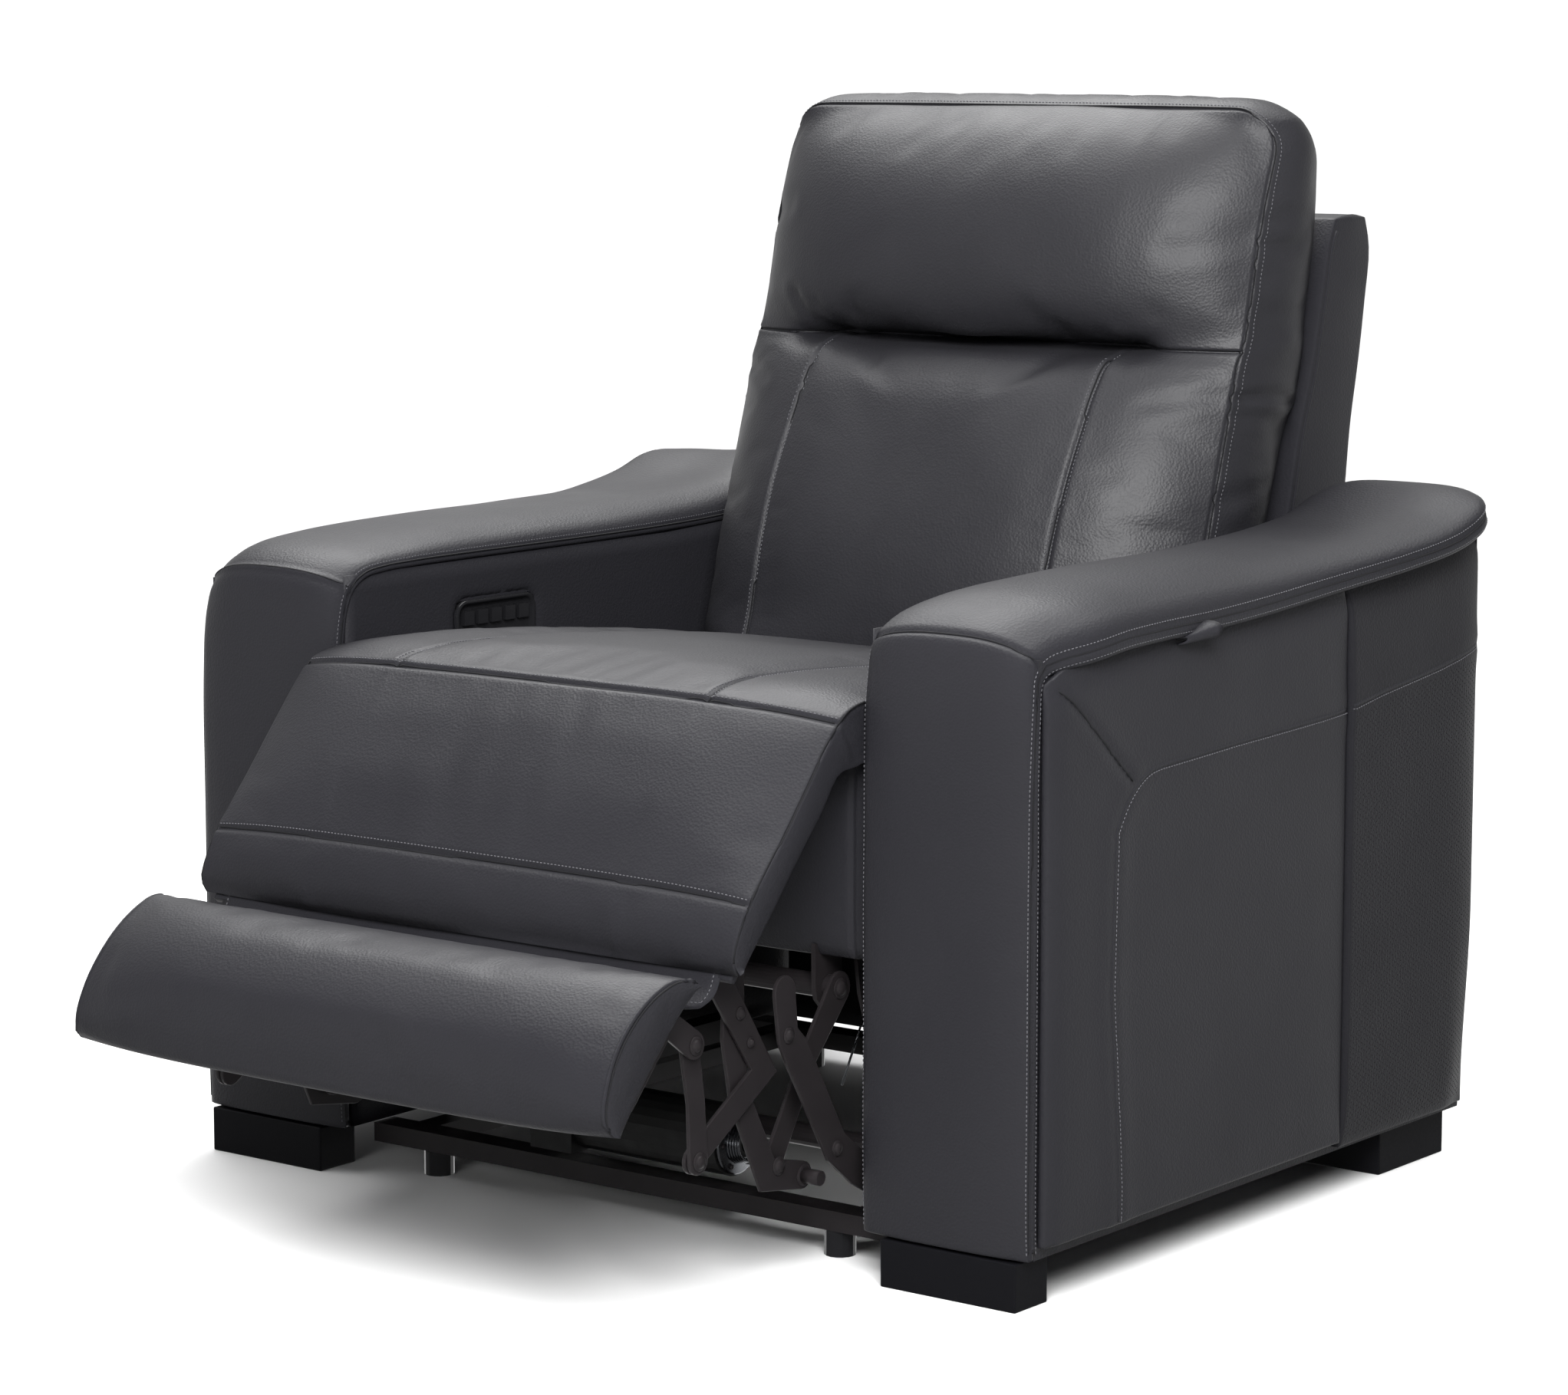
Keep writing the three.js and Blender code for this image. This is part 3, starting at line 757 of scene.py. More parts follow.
def back_relief(u, v, w):
    x, height = u * BACK_HALF, v * BACK_LENGTH
    front, flank = w < 0.001, np.abs(u) > 0.999
    seam = np.abs(np.abs(x) - SEAM_X)
    crease = np.abs(v - CREASE) * BACK_LENGTH
    on_front = (
        (v < CREASE - 0.012) * (2.0 * bell(seam, 15) - 4.4 * bell(seam, 2.6))
        + ruffle(3, 7, 0.02, 0.09, 2.0)(height) * bell(BACK_HALF - np.abs(x) - 16, 22)
        + folds_relief(x, height, BACK_FOLDS)
        + ruffle(5, 6, 0.012, 0.05, 1.8)(x) * bell((1 - v) * BACK_LENGTH - 14, 26)
        + (np.abs(x) > 150) * (1.4 * bell(crease, 13) - 3.6 * bell(crease, 3.0))
        - 2.4 * (flank | (v > 0.999))
        + 1.1 * np.sin(x * 0.017 + 1.3) * np.sin(height * 0.021))
    on_flank = (
        ruffle(11, 8, 0.03, 0.1, 2.0)(height + 14 * w) * np.sin(np.pi * w)
        + folds_relief(w * 100, height, SIDE_FOLDS))
    return front * on_front + flank * on_flank


def back_held(u, v, w):
    seam = np.abs(np.abs(u * BACK_HALF) - SEAM_X) < 2
    lumbar_seam = seam & (w < 0.001) & (v < CREASE)
    crease = (np.abs(v - CREASE) * BACK_LENGTH < 12) & (w < 0.001)
    rim = (w < 0.001) & ((np.abs(u) > 0.999) | (v > 0.999))
    return lumbar_seam | crease | rim | (w > 0.96) | (v < 0.004)


def add_back_cushion():
    us = shares(-BACK_HALF, BACK_HALF, 8, (-SEAM_X, SEAM_X, -BACK_HALF, BACK_HALF))
    vs = shares(0, BACK_LENGTH, 7, (CREASE * BACK_LENGTH, BACK_LENGTH))
    ws = shares(0, 100, 8, (0, 100))
    cushion = block_piece(
        "back_cushion", (us, vs, ws), back_shape, LEATHER, 5, back_relief, back_held, cap=9.0)
    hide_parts("lumbar_cushion", "head_cushion", "headrest_hinge_rod")
    pieces = [
        cushion,
        stitch_rows("back_seam_stitches", cushion, [back_seam(1), back_seam(-1)], (-4.4, 4.4)),
        stitch_rows("back_edge_stitches", cushion, [back_rim(0.075)]),
        seam_shadow_line("back_edge_seam", cushion, back_rim(0.0))]
    for label, path in (("seam", back_seam), ("crease", back_crease)):
        pieces += [seam_shadow_line(f"back_{label}_{name}", cushion, path(side)) for name, side in SIDES]
    for piece in pieces:
        place((0, 660, 775))
        place((0, 668, 850))
        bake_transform(piece)
    add_back_highlight(cushion)


# ---- back shell ---------------------------------------------------------------------------

SHELL_HALF, SHELL_LENGTH = 312, 600
# share of the way up, then front y, rear y and z
SHELL = [
    (0.00, 642, 770, 338), (0.22, 676, 798, 470), (0.48, 716, 828, 640), (0.60, 734, 838, 715),
    (0.72, 757, 852, 780), (0.84, 774, 864, 850), (0.94, 790, 873, 910), (1.00, 806, 866, 936)]


def shell_shape(u, v, w):
    row = curve_at(SHELL, v)
    x = u * SHELL_HALF * (1 - 0.012 * np.clip(v - 0.9, 0, 1) * 10)
    y = row[..., 0] + (row[..., 1] - row[..., 0]) * w + 5 * (1 - u**4) * (w > 0.999)
    z = row[..., 2] + np.where(v > 0.999, 4 * np.sin(np.pi * w), 0)
    return x, y, z


def shell_relief(u, v, w):
    on_edge = ruffle(21, 6, 0.012, 0.04, 1.3)(v * SHELL_LENGTH) + 2.5 * np.sin(np.pi * w)
    return (np.abs(u) > 0.999) * on_edge + (w > 0.999) * ruffle(8, 5, 0.01, 0.03, 0.8)(u * SHELL_HALF)


def add_back_shell():
    us = shares(-100, 100, 5, (-100, 100), (1, 2.5, 4))
    vs = shares(0, SHELL_LENGTH, 14, (SHELL_LENGTH,))
    ws = shares(0, 100, 14, (0, 100))
    shell = block_piece("back_shell_cover", (us, vs, ws), shell_shape, LEATHER, 6, shell_relief)
    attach(shell, "backrest")
    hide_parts("back_shell")
    v = np.linspace(0.1, 0.97, 70)
    row = curve_at(SHELL, v)
    for name, side in SIDES:
        line = path_of(side * SHELL_HALF, row[:, 0] + 9, row[:, 2])
        cord = welt(f"back_shell_welt_{name}", shell, line, 2.4)
        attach(cord, "backrest")
    seams = [path_of(x, row[:, 1] + 6, row[:, 2]) for x in (236, -236)]
    rows = stitch_rows("back_shell_stitches", shell, seams, (-4, 4))
    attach(rows, "backrest")


# ---- seat and leg rest: one leather skin over the knee --------------------------------------

# share of the way from the back over the knee to the foot of the leg rest, then y and z at the
# middle and at the edge
SEAT_TOP = [
    (0.0, 548, 482, 548, 478), (0.1, 470, 497, 470, 488), (0.2, 385, 510, 385, 501),
    (0.32, 285, 522, 285, 513), (0.46, 154, 535, 154, 526), (0.58, 40, 542, 40, 532),
    (0.66, -30, 542, -22, 531), (0.7, -66, 537, -47, 524), (0.715, -77, 531, -56, 518),
    (0.735, -90, 517, -72, 503), (0.78, -120, 480, -106, 464), (0.84, -152, 440, -140, 424),
    (0.9, -181, 400, -174, 387), (0.935, -196, 372, -190, 367), (0.965, -207, 345, -203, 343),
    (0.985, -211, 325, -208, 325), (1.0, -203, 312, -200, 313)]
SEAT_UNDER = [
    (0.00, 548, 479.5), (0.32, 285, 479.5), (0.58, 40, 479.5), (0.66, 0, 479.5), (0.70, -14, 479),
    (0.715, -32, 476), (0.735, -52, 474), (0.78, -80, 443), (0.84, -116, 404), (0.90, -152, 363),
    (0.935, -172, 341), (0.965, -184, 328), (0.985, -190, 321), (1.00, -193, 317)]
SEAT_LENGTH = 900
KNEE_SEAM, LEG_SEAM = 0.715, 0.925
SEAT_SEAM_X = SEAM_X + 5


def seat_width(v):
    return SEAT_HALF + 1 + 5 * smoothstep(0.64, 0.72, v)


def seat_top(u, v):
    return u * seat_width(v), *between(SEAT_TOP, v, np.abs(u) ** 5 * 0.85 + np.abs(u) ** 2 * 0.15)


def seat_shape(u, v, w):
    x, y, z = seat_top(u, v)
    under = curve_at(SEAT_UNDER, v)
    x = x + np.sign(u) * 2 * np.sin(np.pi * w) * np.abs(u) ** 12 * (v > KNEE_SEAM)
    return x, y + (under[..., 0] - y) * w, z + (under[..., 1] - z) * w


def seat_relief(u, v, w):
    x, along = u * SEAT_HALF, v * SEAT_LENGTH
    top, flank = w < 0.001, np.abs(u) > 0.999
    seam = np.abs(np.abs(x) - SEAT_SEAM_X)
    knee, leg = ((v - place_on) * SEAT_LENGTH for place_on in (KNEE_SEAM, LEG_SEAM))
    on_top = (
        (v < KNEE_SEAM) * (1.2 * bell(seam, 15) - 3.2 * bell(seam, 3.2))
        + 1.2 * bell(knee, 18) - 3.4 * bell(knee, 3.2)
        + 1.0 * bell(leg, 18) - 3.0 * bell(leg, 3.2)
        + ruffle(31, 8, 0.015, 0.06, 1.1)(x) * bell(knee, 26)
        + ruffle(32, 8, 0.015, 0.05, 1.2)(x) * bell(leg - 14, 24)
        + (v > KNEE_SEAM) * np.sin(x * 0.013) * np.sin(along * 0.02)
        - 1.6 * flank)
    return top * on_top + flank * ruffle(33, 6, 0.02, 0.06, 1.2)(along) * np.sin(np.pi * w)


def seat_held(u, v, w):
    top = w < 0.001
    seam = (np.abs(np.abs(u * SEAT_HALF) - SEAT_SEAM_X) < 2) & (v < KNEE_SEAM)
    across = (np.abs(v - KNEE_SEAM) * SEAT_LENGTH < 2) | (np.abs(v - LEG_SEAM) * SEAT_LENGTH < 2)
    return (top & (seam | across | (np.abs(u) > 0.999))) | (w > 0.9) | (v < 0.12) | (v > 0.996)


def add_seat():
    us = shares(-SEAT_HALF, SEAT_HALF, 11, (-SEAT_SEAM_X, SEAT_SEAM_X, -SEAT_HALF, SEAT_HALF))
    vs = shares(0, SEAT_LENGTH, 10, (KNEE_SEAM * SEAT_LENGTH, LEG_SEAM * SEAT_LENGTH))
    ws = shares(0, 100, 20, (0, 100), (6, 13))
    seat = block_piece(
        "seat_and_leg_rest", (us, vs, ws), seat_shape, LEATHER, 4, seat_relief, seat_held, cap=6.0)
    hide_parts("seat_cushion", "leg_rest_pad")

    def along_path(u, low, high):
        return path_of(*seat_top(u, np.linspace(low, high, 80)))

    def across_path(v):
        return path_of(*seat_top(np.linspace(-0.985, 0.985, 80), v))

    seam_u = SEAT_SEAM_X / SEAT_HALF
    seams = [along_path(side * seam_u, 0.1, KNEE_SEAM - 0.008) for side in (1, -1)]
    cross = [across_path(v - 0.0065) for v in (KNEE_SEAM, LEG_SEAM)]
    pieces = [
        seat,
        stitch_rows("seat_seam_stitches", seat, seams, (-4.6, 4.6)),
        stitch_rows("leg_rest_stitches", seat, cross)]
    for name, v in (("knee_seam", KNEE_SEAM), ("leg_rest_seam", LEG_SEAM)):
        pieces.append(seam_shadow_line(name, seat, across_path(v)))
    for name, side in SIDES:
        pieces.append(seam_shadow_line(f"seat_seam_{name}", seat, along_path(side * seam_u, 0.1, KNEE_SEAM)))
        pieces.append(seam_shadow_line(f"leg_rest_edge_{name}", seat, along_path(side, 0.6, 0.985)))
    for piece in pieces:
        place((0, -10, 505))
        place((0, -82, 470))
        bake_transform(piece)


# ---- footrest -----------------------------------------------------------------------------

# share down the front face, then along and out from the leg rest's face, middle and edge
FOOT_FRONT = [
    (0.0, 283, 12, 284, 10), (0.05, 284, 24, 285, 20), (0.14, 294, 43, 294, 33), (0.28, 318, 62, 314, 46),
    (0.45, 350, 73, 344, 56), (0.62, 385, 75, 378, 59), (0.78, 418, 68, 410, 54), (0.9, 445, 52, 436, 43),
    (0.96, 455, 38, 445, 33), (1.0, 455, 24, 446, 22)]
FOOT_BACK = [
    (0.00, 287, 9), (0.28, 316, 9), (0.62, 380, 10), (0.90, 430, 12), (1.00, 441, 14)]
FOOT_LENGTH = 220


def foot_front(u, v):
    return between(FOOT_FRONT, v, np.abs(u) ** 5 * 0.8 + np.abs(u) ** 2 * 0.2)


def foot_shape(u, v, w):
    along, out = foot_front(u, v)
    back = curve_at(FOOT_BACK, v)
    along, out = along + (back[..., 0] - along) * w, out + (back[..., 1] - out) * w
    y, z = on_leg(along, out)
    pull = 7 * np.sin(np.pi * v) ** 0.8 - 3
    x = u * (SEAT_HALF + 1) + np.sign(u) * (3 * np.sin(np.pi * w) - pull) * np.abs(u) ** 14
    return x, y, z


def foot_relief(u, v, w):
    x, down = u * SEAT_HALF, v * FOOT_LENGTH
    return (w < 0.001) * (
        ruffle(41, 8, 0.02, 0.09, 1.7)(down) * bell(SEAT_HALF - np.abs(x), 22)
        + ruffle(42, 7, 0.012, 0.05, 1.0)(x) * bell(down - 15, 22)
        - 1.5 * (np.abs(u) > 0.999))


def foot_held(u, v, w):
    return (w > 0.9) | ((w < 0.001) & ((np.abs(u) > 0.999) | (v < 0.004) | (v > 0.996)))


def add_footrest():
    us = shares(-SEAT_HALF, SEAT_HALF, 12, (-SEAT_HALF, SEAT_HALF))
    vs = shares(0, FOOT_LENGTH, 8, (0, FOOT_LENGTH), (2, 5))
    ws = shares(0, 100, 20, (0, 100), (6, 13))
    pad = block_piece(
        "footrest_cushion", (us, vs, ws), foot_shape, LEATHER, 4, foot_relief, foot_held, cap=6.0)
    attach(pad, "footrest")
    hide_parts("footrest_pad")
    for name, side in SIDES:
        edge = path_of(*foot_shape(side, np.linspace(0.03, 0.97, 40), 0))
        cord = welt(f"footrest_welt_{name}", pad, edge, 2.2)
        rim = seam_shadow_line(f"footrest_seam_{name}", pad, edge + [side * 1.6, 0, 0] + on_leg_step(0, -2.6))
        ride_all("footrest", cord, rim)


# ---- seat front panel and the leather flap under the leg rest -------------------------------


def add_seat_front():
    def shape(u, v, w):
        crown = (1 - np.abs(u) ** 6) * (1 - np.abs(2 * v - 1) ** 6)
        low = 290 + 4 * np.abs(u) ** 8
        return u * SEAT_HALF, 11.7 - w * (13 + 9 * crown), low + v * (478 - low)

    def relief(u, v, w):
        seam = np.abs(u * SEAT_HALF) - 300
        return (w > 0.999) * (1.2 * bell(seam, 16) - 3 * bell(seam, 3))

    grid = (shares(-SEAT_HALF, SEAT_HALF, 14, (-300, 300)), shares(0, 175, 12), lines(0, 1, 0.34))
    panel = block_piece("seat_front_cover", grid, shape, LEATHER, 4, relief)
    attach(panel, "carriage")
    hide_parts("seat_front_panel")


def add_leg_flap():
    """The stitched leather flap that hangs from the foot of the leg rest."""
    half, thick = 303, 1.8

    def shape(u, v, w):
        along = 240 + 50 * v * (1 - 0.12 * np.abs(u) ** 10)
        out = -31 - 8 * smoothstep(0, 0.6, v) + w * thick + 2.2 * np.sin(u * 7 + 0.6) * v
        y, z = on_leg(along, out)
        corner = 9 * np.clip(v - 0.6, 0, 1) ** 2 * 6
        return u * (half - corner * np.abs(u) ** 6), y, z

    grid = (lines(-1, 1, 0.04), lines(0, 1, 0.1), [0, 1])
    flap = block_piece("leg_rest_flap", grid, shape, LEATHER, 1)
    hem = path_of(*shape(np.linspace(-0.97, 0.97, 90), 0.84, 1))
    ends = [path_of(*shape(u, np.linspace(0.1, 0.82, 12), 1)) for u in (0.975, -0.975)]
    rows = stitch_rows("leg_flap_stitches", flap, [hem, *ends])
    ride_all("leg_rest", flap, rows)


def add_leg_board():
    """The leather-wrapped board under the leg rest, whose ends show below the pad."""
    def shape(u, v, w):
        y, z = on_leg(86 + 168 * v, -31.5 - 9.5 * w)
        return u * (SEAT_HALF - 3), y, z

    grid = (lines(-1, 1, 0.04, (-1, 1), (0.006,)), lines(0, 1, 0.1, (0, 1), (0.02,)), [0, 0.3, 0.7, 1])
    board = block_piece("leg_rest_board", grid, shape, LEATHER, 3)
    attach(board, "leg_rest")


# ---- arms ---------------------------------------------------------------------------------

# The front panel and the cap are one strip of leather over the arm. Distance along it, then
# (y, z) of its outer seam, (y, z) of its middle, and z of its inner seam.
ARM_STRIP = [
    (0, -14, 46, -24, 46, 46), (30, -15, 76, -26, 76, 76), (150, -15, 196, -27.5, 196, 196),
    (350, -15, 396, -28, 398, 396), (450, -14, 490, -28, 500, 494), (500, -11, 536, -27.5, 552, 540),
    (520, -8, 552, -26.5, 574, 558), (535, -4, 564, -24, 592, 572), (548, 2, 573, -16, 604, 583),
    (562, 11, 579, -2, 613, 592), (578, 25, 583, 16, 620, 599), (605, 52, 587.5, 48, 627, 603),
    (645, 92, 593, 92, 631.5, 604.5), (715, 162, 596.5, 162, 635, 605), (800, 247, 598, 247, 637, 605),
    (956, 403, 606, 403, 637, 605), (1050, 497, 614, 497, 639.5, 606), (1140, 586, 623, 586, 645, 609),
    (1230, 675, 636.5, 672, 658, 616), (1265, 709, 645.5, 706, 668.5, 622), (1290, 733, 652.5, 733, 675, 630),
    (1308, 750, 657, 753, 675.5, 637), (1320, 761, 659, 766, 670.5, 641), (1328, 768, 659.5, 774, 662, 644)]
STRIP_LENGTH, STRIP_WIDTH = 1328, 184
PANEL_SEAM = 546
TAIL_ROUND = 20


def strip_outer_x(s):
    flare = 18 * smoothstep(520, 640, s) + 18 * smoothstep(960, 1250, s)
    return 506 + flare - 7 * bell(s - 562, 36)


def strip_seam_at(v):
    """Where the seam between the front panel and the cap crosses the strip."""
    return PANEL_SEAM + 3 * np.abs(2 * v - 1) ** 6


def strip_edge(s, v, rise=0.0):
    """A point on the strip's seam line (v is 0 inside, 1 outside), moved off it towards its face."""
    row = curve_at(ARM_STRIP, s)
    y, z = row[..., 0], row[..., 4] + (row[..., 1] - row[..., 4]) * v
    out_y, out_z = row[..., 2] - y, row[..., 3] - z
    length = np.maximum(np.hypot(out_y, out_z), 1e-6)
    corner = 24 * np.clip((s - 1262) / 66, 0, 1) ** 2.5
    x = (ARM_INNER - 3 + corner * 0.5) * (1 - v) + (strip_outer_x(s) - corner) * v
    return x, y + out_y / length * rise, z + out_z / length * rise


def strip_shape(side):
    def shape(u, v, w):
        s = u * STRIP_LENGTH
        row = curve_at(ARM_STRIP, s)
        x, edge_y, edge_z = strip_edge(s, v)
        across = np.abs(2 * v - 1)
        power = 3.4 - 0.9 * smoothstep(470, 560, s) + 1.2 * smoothstep(900, 1250, s)
        crown = np.clip(1 - across**power, 0, 1) ** 0.5
        tail = smoothstep(1230, STRIP_LENGTH, s)
        settle = 3 if side > 0 else -4 - 10 * smoothstep(950, 1180, s) * smoothstep(0.05, 0.6, v)
        y = edge_y + (row[..., 2] - edge_y) * crown - TAIL_ROUND * across**3 * tail
        z = edge_z + (row[..., 3] - edge_z) * crown + settle * smoothstep(560, 640, s) * crown
        under_y = np.clip(s - 549, 0, None) - 4.3
        under_y = np.where(s > 578, edge_y - TAIL_ROUND * across**3 * tail, np.minimum(under_y, 25))
        under_z = np.where(s > 530, edge_z - 9, edge_z)
        x = side * (x - np.sign(v - 0.5) * 3 * (1 - w))
        return x, under_y + (y - under_y) * w, under_z + (z - under_z) * w
    return shape


def strip_relief(u, v, w):
    s = u * STRIP_LENGTH
    groove = s - strip_seam_at(v)
    inset = (1 - np.abs(2 * v - 1)) * STRIP_WIDTH / 2
    return (w > 0.999) * (
        bell(groove, 14) - 2.6 * bell(groove, 2.6)
        + ruffle(51, 7, 0.01, 0.04, 1.0)(s) * bell(inset - 16, 22)
        - 1.6 * ((v < 0.001) | (v > 0.999)))


def add_arm_strip(name, side):
    us = shares(0, STRIP_LENGTH, 9, (0, 541, STRIP_LENGTH), (2.2, 4.5, 7, 10, 13, 16))
    vs = shares(0, STRIP_WIDTH, 8, (0, STRIP_WIDTH), (1.2, 3, 5.5, 9, 13))
    shape = strip_shape(side)
    strip = block_piece(f"arm_cover_{name}", (us, vs, [0, 0.35, 0.8, 1]), shape, LEATHER, 4, strip_relief)
    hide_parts(f"arm_cap_{name}", f"arm_front_panel_{name}")

    def edge(v, rise, low=8, high=1306, lift=0.0):
        s = np.linspace(low, high, 260)
        x, y, z = strip_edge(s, v, rise)
        y = y - TAIL_ROUND * smoothstep(1230, STRIP_LENGTH, s)
        return path_of(side * (x + lift), y, z)

    v = np.linspace(0.004, 0.996, 60)
    seam = path_of(*shape(strip_seam_at(v) / STRIP_LENGTH, v, 1))
    rows = stitch_rows(f"arm_stitches_{name}", strip, [edge(1, 6), edge(0, 5.5, 8, 1190)])
    outwards = np.tile([side, 0, 0], (260, 1))
    outer, inner = edge(1, -6.5, lift=-3.5), edge(0, -3, 8, 1190, 1.5)
    band = tube(f"arm_welt_{name}", place(outer), 5.6, LEATHER, 12, 0.6, outwards)
    inner_band = tube(f"arm_inner_welt_{name}", place(inner), 2.8, LEATHER, 10, 0.8, -outwards)
    hem = stitch_rows(f"arm_welt_stitches_{name}", band, [edge(1, -8, lift=1)], thickness=0.4)
    pieces = [
        strip, rows, band, inner_band, hem,
        seam_shadow_line(f"arm_panel_seam_{name}", strip, seam),
        seam_shadow_line(f"arm_outer_seam_{name}", strip, edge(1, 0.3)),
        seam_shadow_line(f"arm_inner_seam_{name}", strip, edge(0, 0.3, 8, 1190))]
    ride_all("base", *pieces)


def arc_path(points, radius_at, steps=8):
    """A path through points, with the corner at radius_at = {index: radius} rounded."""
    path = []
    points = [np.array(p, float) for p in points]
    for i, p in enumerate(points):
        radius = radius_at.get(i)
        if radius is None:
            path.append(p)
            continue
        before, after = points[i - 1] - p, points[i + 1] - p
        before, after = before / np.linalg.norm(before), after / np.linalg.norm(after)
        for t in np.linspace(0, 1, steps + 1):
            start, end = p + before * radius, p + after * radius
            path.append((1 - t) ** 2 * start + 2 * t * (1 - t) * p + t**2 * end)
    return np.array(path)


FLAP_SEAM = arc_path([(111, 58), (91, 270), (96, 420), (129, 470), (292, 477), (499, 483)], {3: 40}, 10)
FLAP_DIAGONAL = np.array([(12, 560), (120, 464)])


def flap_top(y):
    """The side panels' top edge, tucked up under the arm's welt."""
    return np.interp(y, [-2, 50, 160, 250, 403, 586, 752], [568, 580, 588, 591, 598, 615, 642])


def round_flap(y, z, radius=30, top=577):
    """Rounds the flap's top front corner under the arm's welt."""
    p, q = rounded((FLAP_FRONT + radius - y) / radius, (z - (top - radius)) / radius)
    return FLAP_FRONT + radius - p * radius, top - radius + q * radius


def panel_place(u, v, front, rear, low):
    """(y, z) of a place on a side panel."""
    y = front + (rear - front) * u
    return y, low + (flap_top(y) - low) * v


def piped_seam(label, name, panel, x, seam):
    """A seam with its piping and a row of stitches below it."""
    path = np.insert(seam, 0, x, axis=1)
    rows = stitch_rows(f"{label}_stitches_{name}", panel, [path], (-3.6,))
    cord = welt(f"{label}_welt_{name}", panel, path, 2.4, 0.3, 0.6)
    return rows, cord


def add_pocket_flap(name, side):
    inner, outer = ARM_OUTER + 1, FLAP_OUTER

    def shape(u, v, w):
        y, z = round_flap(*panel_place(u, v, FLAP_FRONT, FLAP_REAR, 56))
        a, b = 2 * u - 1, 2 * v - 1
        crown = (1 - a**8) * (1 - b**8)
        tuck = 6 * smoothstep(0.94, 1, v) + 4 * (1 - smoothstep(0, 0.03, u))
        x = inner + w * (outer - inner - 7 + 4 * crown - tuck)
        return side * x, y, z

    def relief(u, v, w):
        y, z = panel_place(u, v, FLAP_FRONT, FLAP_REAR, 56)
        seam = distance_to_path(y, z, FLAP_SEAM)
        diagonal = distance_to_path(y, z, FLAP_DIAGONAL)
        out = 1.6 * bell(seam, 20) - 1.0 * bell(seam, 7) + 0.9 * bell(diagonal, 16) - 2.2 * bell(diagonal, 4)
        out += ruffle(71, 6, 0.008, 0.02, 0.9)(y + 0.3 * z) * bell(v * 520 - 440, 120)
        return (w > 0.999) * out

    grid = (shares(0, 500, 6, (0, 500), (2, 4)), shares(0, 530, 6, (0, 530), (2, 4)), [0, 0.5, 1])
    flap = block_piece(f"pocket_flap_cover_{name}", grid, shape, LEATHER, 4, relief)
    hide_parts(f"pocket_flap_{name}")
    diagonal = np.insert(FLAP_DIAGONAL, 0, side * outer, axis=1)
    rows, cord = piped_seam("pocket_flap", name, flap, side * outer, FLAP_SEAM)
    crease = seam_shadow_line(f"pocket_flap_crease_{name}", flap, np.linspace(*diagonal, 20))
    ride_all(f"pocket_flap_{name}", flap, rows, cord, crease)


REAR_SEAM = np.array([(504, 486), (557, 494), (611, 500), (665, 506), (705, 512), (750, 520)])


def add_rear_panel(name, side):
    inner, outer = ARM_OUTER + 0.5, FLAP_OUTER - 1.5

    def shape(u, v, w):
        y, z = panel_place(u, v, FLAP_REAR + 1, ARM_REAR + 4, 50)
        a, b = 2 * u - 1, 2 * v - 1
        crown = (1 - np.clip(a, 0, 1) ** 6) * (1 - b**10)
        tuck = 6 * smoothstep(0.94, 1, v) + 8 * smoothstep(0.8, 1, u) * (1 - smoothstep(60, 260, z))
        return side * (inner + w * (outer - inner - 9 + 8 * crown - tuck)), y, z

    def relief(u, v, w):
        seam = distance_to_path(*panel_place(u, v, FLAP_REAR + 3, ARM_REAR - 1, 50), REAR_SEAM)
        return (w > 0.999) * (1.6 * bell(seam, 18) - 1.2 * bell(seam, 6))

    grid = (shares(0, 225, 7, (0, 225), (2, 4)), shares(0, 545, 7, (0, 545), (2, 4)), [0, 0.5, 1])
    panel = block_piece(f"rear_side_cover_{name}", grid, shape, PERFORATED, 4, relief)
    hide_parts(f"arm_rear_side_panel_{name}")
    rows, cord = piped_seam("rear_side", name, panel, side * outer, REAR_SEAM)
    ride_all("base", panel, rows, cord, add_perforations(name, side, panel, outer))


def add_perforations(name, side, panel, outer):
    """Rows of small dots of painted shade over the rear panel, below its seam, standing for its perforations.
    """
    pitch, radius = 5.4, 0.85
    centres = []
    for row, y in enumerate(np.arange(FLAP_REAR + 9, ARM_REAR - 6, pitch * 0.95)):
        for z in np.arange(60 + (row % 2) * pitch / 2, 505, pitch):
            if z < np.interp(y, REAR_SEAM[:, 0], REAR_SEAM[:, 1]) - 9:
                centres.append((side * outer, y, z))
    points, faces = [], []
    up = np.array([0, 0, 1.0])
    for p, n in zip(*on_surface(panel, place(centres))):
        across = np.cross(up, n)
        base = len(points)
        for depth, size in ((-0.5, 1.0), (0.14, 1.0), (0.16, 0.6)):
            for angle in np.arange(6) * math.pi / 3:
                spoke = across * math.cos(angle) + up * math.sin(angle)
                points.append(p + (spoke * radius * size + n * depth) * MM)
        faces += ring_faces(3, 6, base)
    holes = closed_piece(f"perforations_{name}", points, faces, SEAM_SHADOW)
    return holes


def rounded_rectangle(low, high, radius, steps=8):
    """Points round a rectangle with rounded corners."""
    low, high = np.array(low, float), np.array(high, float)
    middle, half = (low + high) / 2, (high - low) / 2 - radius
    points = []
    for quarter, (a, b) in enumerate(((1, 1), (-1, 1), (-1, -1), (1, -1))):
        for i in range(steps + 1):
            angle = (quarter + i / steps) * math.pi / 2
            points.append(middle + half * (a, b) + radius * np.array([math.cos(angle), math.sin(angle)]))
    return np.array(points)


def inside_outline(a, b, outline):
    inside = np.zeros(np.shape(a), bool)
    for (a0, b0), (a1, b1) in zip(outline, np.roll(outline, -1, axis=0)):
        crosses = (b0 > b) != (b1 > b)
        inside ^= crosses & (a < (a1 - a0) * (b - b0) / np.where(crosses, b1 - b0, 1) + a0)
    return inside


